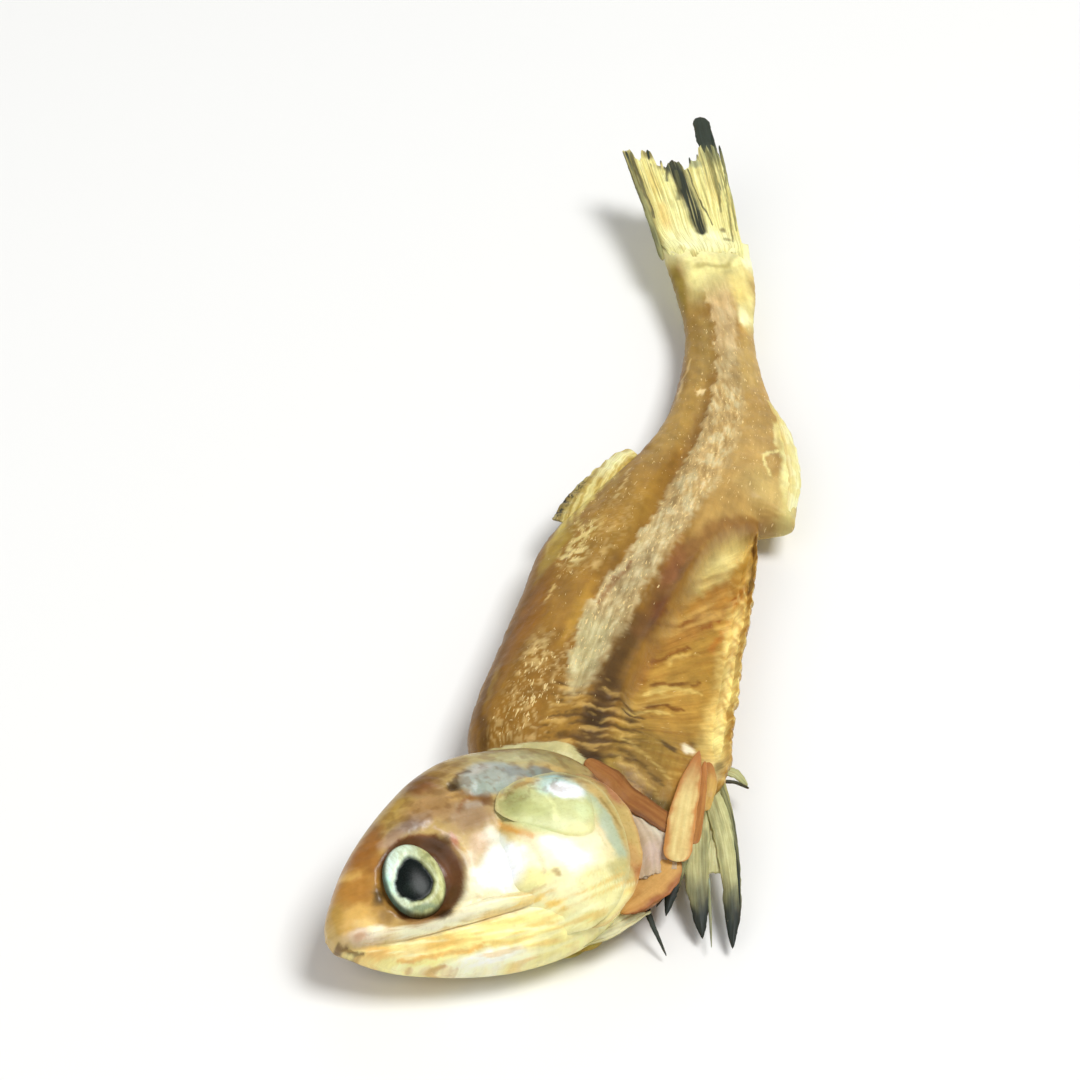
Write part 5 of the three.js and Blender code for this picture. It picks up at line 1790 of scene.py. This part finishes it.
    def breast_web(self) -> Piece:
        """Makes the olive web that joins the breast fin's rays near their root."""
        edges = (
            ((11.2, 6.6, 2.7), (10.7, 3.6, 2.2), (10.6, 1.2, 1.6)),
            ((13.3, 6.8, 2.9), (13.5, 4.0, 2.4), (13.3, 1.6, 1.8)),
        )
        marks = (
            Dab((150, 142, 84), (0.2, 0.5), (0.2, 0.5), 0, 0.8),
            Dab((204, 200, 150), (0.55, 0.7), (0.25, 0.4), 0, 0.8),
            Dab((104, 100, 62), (0.9, 0.4), (0.12, 0.5), 0, 0.8),
        )
        surface = web_surface(edges, marks, (176, 172, 116), 5, 71.0)
        return Modelling("breast_web").sheet(50, 60, surface).done(FIN, "fin", self.fold_thickness)

    def pelvics(self) -> Piece:
        """Makes the small leaf of the belly fin, with its dark lower edge."""
        rays = (
            (((13.2, 8.7, 2.1), (14.1, 8.5, 2.0), (14.8, 7.95, 1.6)), 0.8, ((184, 184, 130), (140, 142, 92)), 0.2),
            (((13.3, 7.9, 2.0), (14.1, 7.9, 1.9), (14.85, 7.75, 1.6)), 0.22, ((74, 72, 46), (50, 50, 36)), 0.3),
        )
        blades = blades_of(rays, "width colours tip", 80.0, thickness=0.18, taper=2.4)
        return add_blades(Modelling("pelvic_fins"), blades, 14, 40).done(FIN, "fin")

    def build(self) -> None:
        """Makes every fin."""
        self.tail_web()
        self.tail_rays()
        self.back_fin()
        self.anal_fin()
        self.pectorals()
        self.breast_web()
        self.pelvics()


# ---- shoulder


@dataclass
class Shoulder:
    """Bones, flesh and films between the gill cover and the belly."""

    trunk: Trunk
    clearance: float = 0.12
    near: float = 0.5
    film_thickness: float = 0.16

    def __post_init__(self) -> None:
        """Finds the heights of the flank behind the gill cover."""
        station, below = np.meshgrid(np.linspace(0, 9, 46), np.linspace(-3, 8, 56))
        self.flank = self.trunk.top(station.ravel(), below.ravel())

    def settled(self, path: Places) -> list[Triple]:
        """A path that is raised where it would sink into the flank."""
        raised = []
        for x, y, z in spline(path, 12):
            apart = np.hypot(self.flank[:, 0] - x, self.flank[:, 1] - y)
            nearest = int(np.argmin(apart))
            if z > 3 and apart[nearest] < self.near:
                z = max(z, self.flank[nearest, 2] + self.clearance)
            raised.append((float(x), float(y), float(z)))
        return raised

    def lumps(self) -> Piece:
        """Makes the lobe of dried flesh under the gill cover, the deep flesh under it and the red-brown bar."""
        forms = (
            (((5.5, 6.0, 4.6), (6.9, 4.9, 4.6), (8.4, 3.6, 4.4), (10.2, 2.2, 4.0)), 1.5, 0.2,
                ((156, 104, 50), (132, 76, 34)), (114, 70, 32), 0.7, 0.8),
            (((9.8, 0.6, 3.8), (9.1, -0.2, 3.6), (8.1, -1.0, 3.2), (6.6, -2.1, 2.7)), 2.2, 0.25,
                ((206, 160, 92), (182, 126, 62)), (150, 88, 46), 0.45, 0.4),
            (((12.4, 8.4, 2.0), (10.6, 5.2, 2.0), (8.8, 1.6, 2.0), (7.4, -0.6, 1.8)), 2.8, 2.4,
                ((170, 124, 60), (130, 84, 36)), None, 1.0, 0.6),
            (((9.7, 0.9, 2.8), (8.6, -0.3, 2.6), (7.0, -1.7, 2.2)), 1.6, 1.4, ((168, 108, 50), (132, 78, 34)), None,
                1.0, 0.6),
        )
        names = "width thickness colours edge_colour start tip"
        blades = blades_of(forms, names, 100.0, self.settled, taper=3.0, fibres=0.3, jag=0.07)
        return add_blades(Modelling("shoulder_flesh"), blades, 36, 80).done(BONE, "flesh")

    def bones(self) -> Piece:
        """Makes the flat salmon bar of the shoulder and the thin splinters beside it."""
        salmon, amber, rust = (222, 200, 134), (204, 168, 100), (176, 116, 60)
        splinter, golden = ((176, 122, 62), (142, 88, 42)), ((204, 166, 90), (172, 128, 60))
        forms = (
            (((9.65, 0.0, 4.1), (10.25, 2.6, 4.4), (11.05, 5.4, 4.35), (11.95, 8.2, 4.0)), 1.5, 0.2, (salmon, amber),
                (190, 124, 62), 0.1),
            (((10.75, 1.4, 3.95), (11.5, 4.6, 4.0), (12.2, 7.6, 3.8)), 0.7, 0.2, splinter, None, 0.3),
            (((11.6, 4.4, 3.3), (12.25, 6.2, 3.4), (12.5, 8.0, 3.3)), 0.9, 0.3, golden, None, 0.5),
        )
        shared = {"dark": (0.45, 0.95), "dark_colour": rust, "taper": 3.0, "streaks": 0.5, "fibres": 0.3, "jag": 0.06}
        blades = blades_of(forms, "width thickness colours edge_colour tip", 120.0, self.settled, **shared)
        return add_blades(Modelling("shoulder_bones"), blades, 24, 80).done(BONE, "head")

    def membrane(self) -> Piece:
        """Makes the pinkish membrane between the gill cover, the red bar and the lobe."""
        edges = (
            ((6.2, 5.2, 4.2), (7.0, 3.4, 4.2), (7.3, 1.6, 3.9), (7.4, -0.6, 3.4)),
            ((7.0, 5.0, 4.3), (8.8, 3.2, 4.25), (9.9, 1.8, 4.0), (9.7, -0.2, 3.7)),
        )
        marks = (
            # whitish spot: painted highlight on the membrane
            Dab((228, 216, 192), (0.75, 0.5), (0.2, 0.2), 0, 0.9),
            Dab((206, 182, 164), (0.55, 0.8), (0.3, 0.16), 0, 0.8),
            Dab((226, 214, 160), (0.95, 0.66), (0.1, 0.14), 0, 0.8),
            Dab((172, 128, 84), (0.15, 0.5), (0.16, 0.5), 0, 0.7),
            Dab((150, 116, 82), (0.5, 0.3), (0.25, 0.1), 0, 0.6),
        )
        surface = web_surface(edges, marks, (198, 176, 146), 2, 131.0)
        return Modelling("shoulder_membrane").sheet(60, 70, surface).done(BONE, "flesh", self.film_thickness)

    def throat(self) -> Piece:
        """Makes the pale skin that joins the throat to the lobe under the gill cover."""
        edges = (
            ((4.0, -3.1, 2.2), (5.6, -2.5, 2.4), (6.8, -1.8, 2.5)),
            ((4.3, -3.7, 1.7), (6.3, -3.0, 1.8), (8.4, -1.6, 2.1)),
        )
        marks = (
            Dab((176, 146, 92), (0.1, 0.6), (0.2, 0.5), 0, 0.7),
            Dab((226, 222, 180), (0.8, 0.6), (0.2, 0.4), 0, 0.8),
        )
        surface = web_surface(edges, marks, (208, 202, 152), 3, 151.0)
        return Modelling("throat_skin").sheet(30, 60, surface).done(BONE, "flesh", self.film_thickness)

    def build(self) -> None:
        """Makes the shoulder's pieces."""
        self.lumps()
        self.bones()
        self.membrane()
        self.throat()


# ---- floor, lights and camera


@dataclass
class Studio:
    """Plain pale floor, soft lights and the camera."""

    camera_at: Triple = (-0.02519, -0.14766, 0.12591)
    camera_aim: Triple = (-0.00133, -0.00331, 0.0025)
    camera_roll: float = 6.23
    lens: float = 112.0
    floor_half: float = 1.5
    floor_gap: float = 0.00003
    floor_colour: Colour = (236, 236, 234)
    world_strength: float = 0.3
    sensor: float = 36.0
    clip: Pair = (0.005, 10.0)
    lights: tuple[tuple[str, Triple, float, float], ...] = (
        ("key", (0.16, -0.06, 0.45), 0.2, 1.9),
        ("fill", (-0.3, -0.3, 0.35), 0.4, 0.8),
        ("rim", (0.0, 0.5, 0.3), 0.3, 0.3),
    )

    def floor(self) -> None:
        """Makes the floor."""
        bm = bmesh.new()
        bmesh.ops.create_grid(bm, x_segments=1, y_segments=1, size=self.floor_half)
        bmesh.ops.translate(bm, verts=bm.verts, vec=(0, 0, -self.floor_gap))
        mesh = bpy.data.meshes.new("floor")
        bm.to_mesh(mesh)
        bm.free()
        made = bpy.data.objects.new("floor", mesh)
        bpy.context.scene.collection.objects.link(made)
        material = bpy.data.materials.new("pale_floor")
        material.use_nodes = True
        shader = material.node_tree.nodes["Principled BSDF"]
        shader.inputs["Base Color"].default_value = (*linear(self.floor_colour), 1.0)
        shader.inputs["Roughness"].default_value = 0.9
        mesh.materials.append(material)

    def light(self, name: str, at: Triple, size: float, power: float) -> None:
        """Adds a soft square light that faces the fish."""
        data = bpy.data.lights.new(name, "AREA")
        data.size, data.energy = size, power
        made = bpy.data.objects.new(name, data)
        made.location = at
        made.rotation_euler = (-Vector(at)).to_track_quat("-Z", "Y").to_euler()
        bpy.context.scene.collection.objects.link(made)

    def world(self) -> None:
        """Sets the even light from all round, and plain colours in the picture."""
        scene = bpy.context.scene
        scene.world = bpy.data.worlds.new("soft_room")
        scene.world.use_nodes = True
        background = scene.world.node_tree.nodes["Background"]
        background.inputs["Color"].default_value = (1.0, 1.0, 1.0, 1.0)
        background.inputs["Strength"].default_value = self.world_strength
        scene.view_settings.view_transform = "Standard"
        scene.view_settings.look = "None"

    def camera(self) -> None:
        """Sets the camera where the photographer stood, with a longer lens."""
        data = bpy.data.cameras.new("camera")
        data.lens, data.sensor_width = self.lens, self.sensor
        data.clip_start, data.clip_end = self.clip
        made = bpy.data.objects.new("camera", data)
        made.location = self.camera_at
        way = Vector(self.camera_aim) - Vector(self.camera_at)
        roll = Quaternion((0, 0, 1), math.radians(self.camera_roll))
        made.rotation_euler = (way.to_track_quat("-Z", "Y") @ roll).to_euler()
        bpy.context.scene.collection.objects.link(made)
        bpy.context.scene.camera = made

    def build(self) -> None:
        """Makes the whole studio."""
        self.floor()
        self.world()
        self.camera()
        for light in self.lights:
            self.light(*light)


def main() -> None:
    """Builds the fish and the studio round it."""
    logging.basicConfig(level=logging.INFO, format="%(name)s %(message)s")
    Studio().build()
    trunk = Trunk()
    trunk.build()
    Head().build()
    Fins(trunk).build()
    Shoulder(trunk).build()


if __name__ == "__main__":
    main()
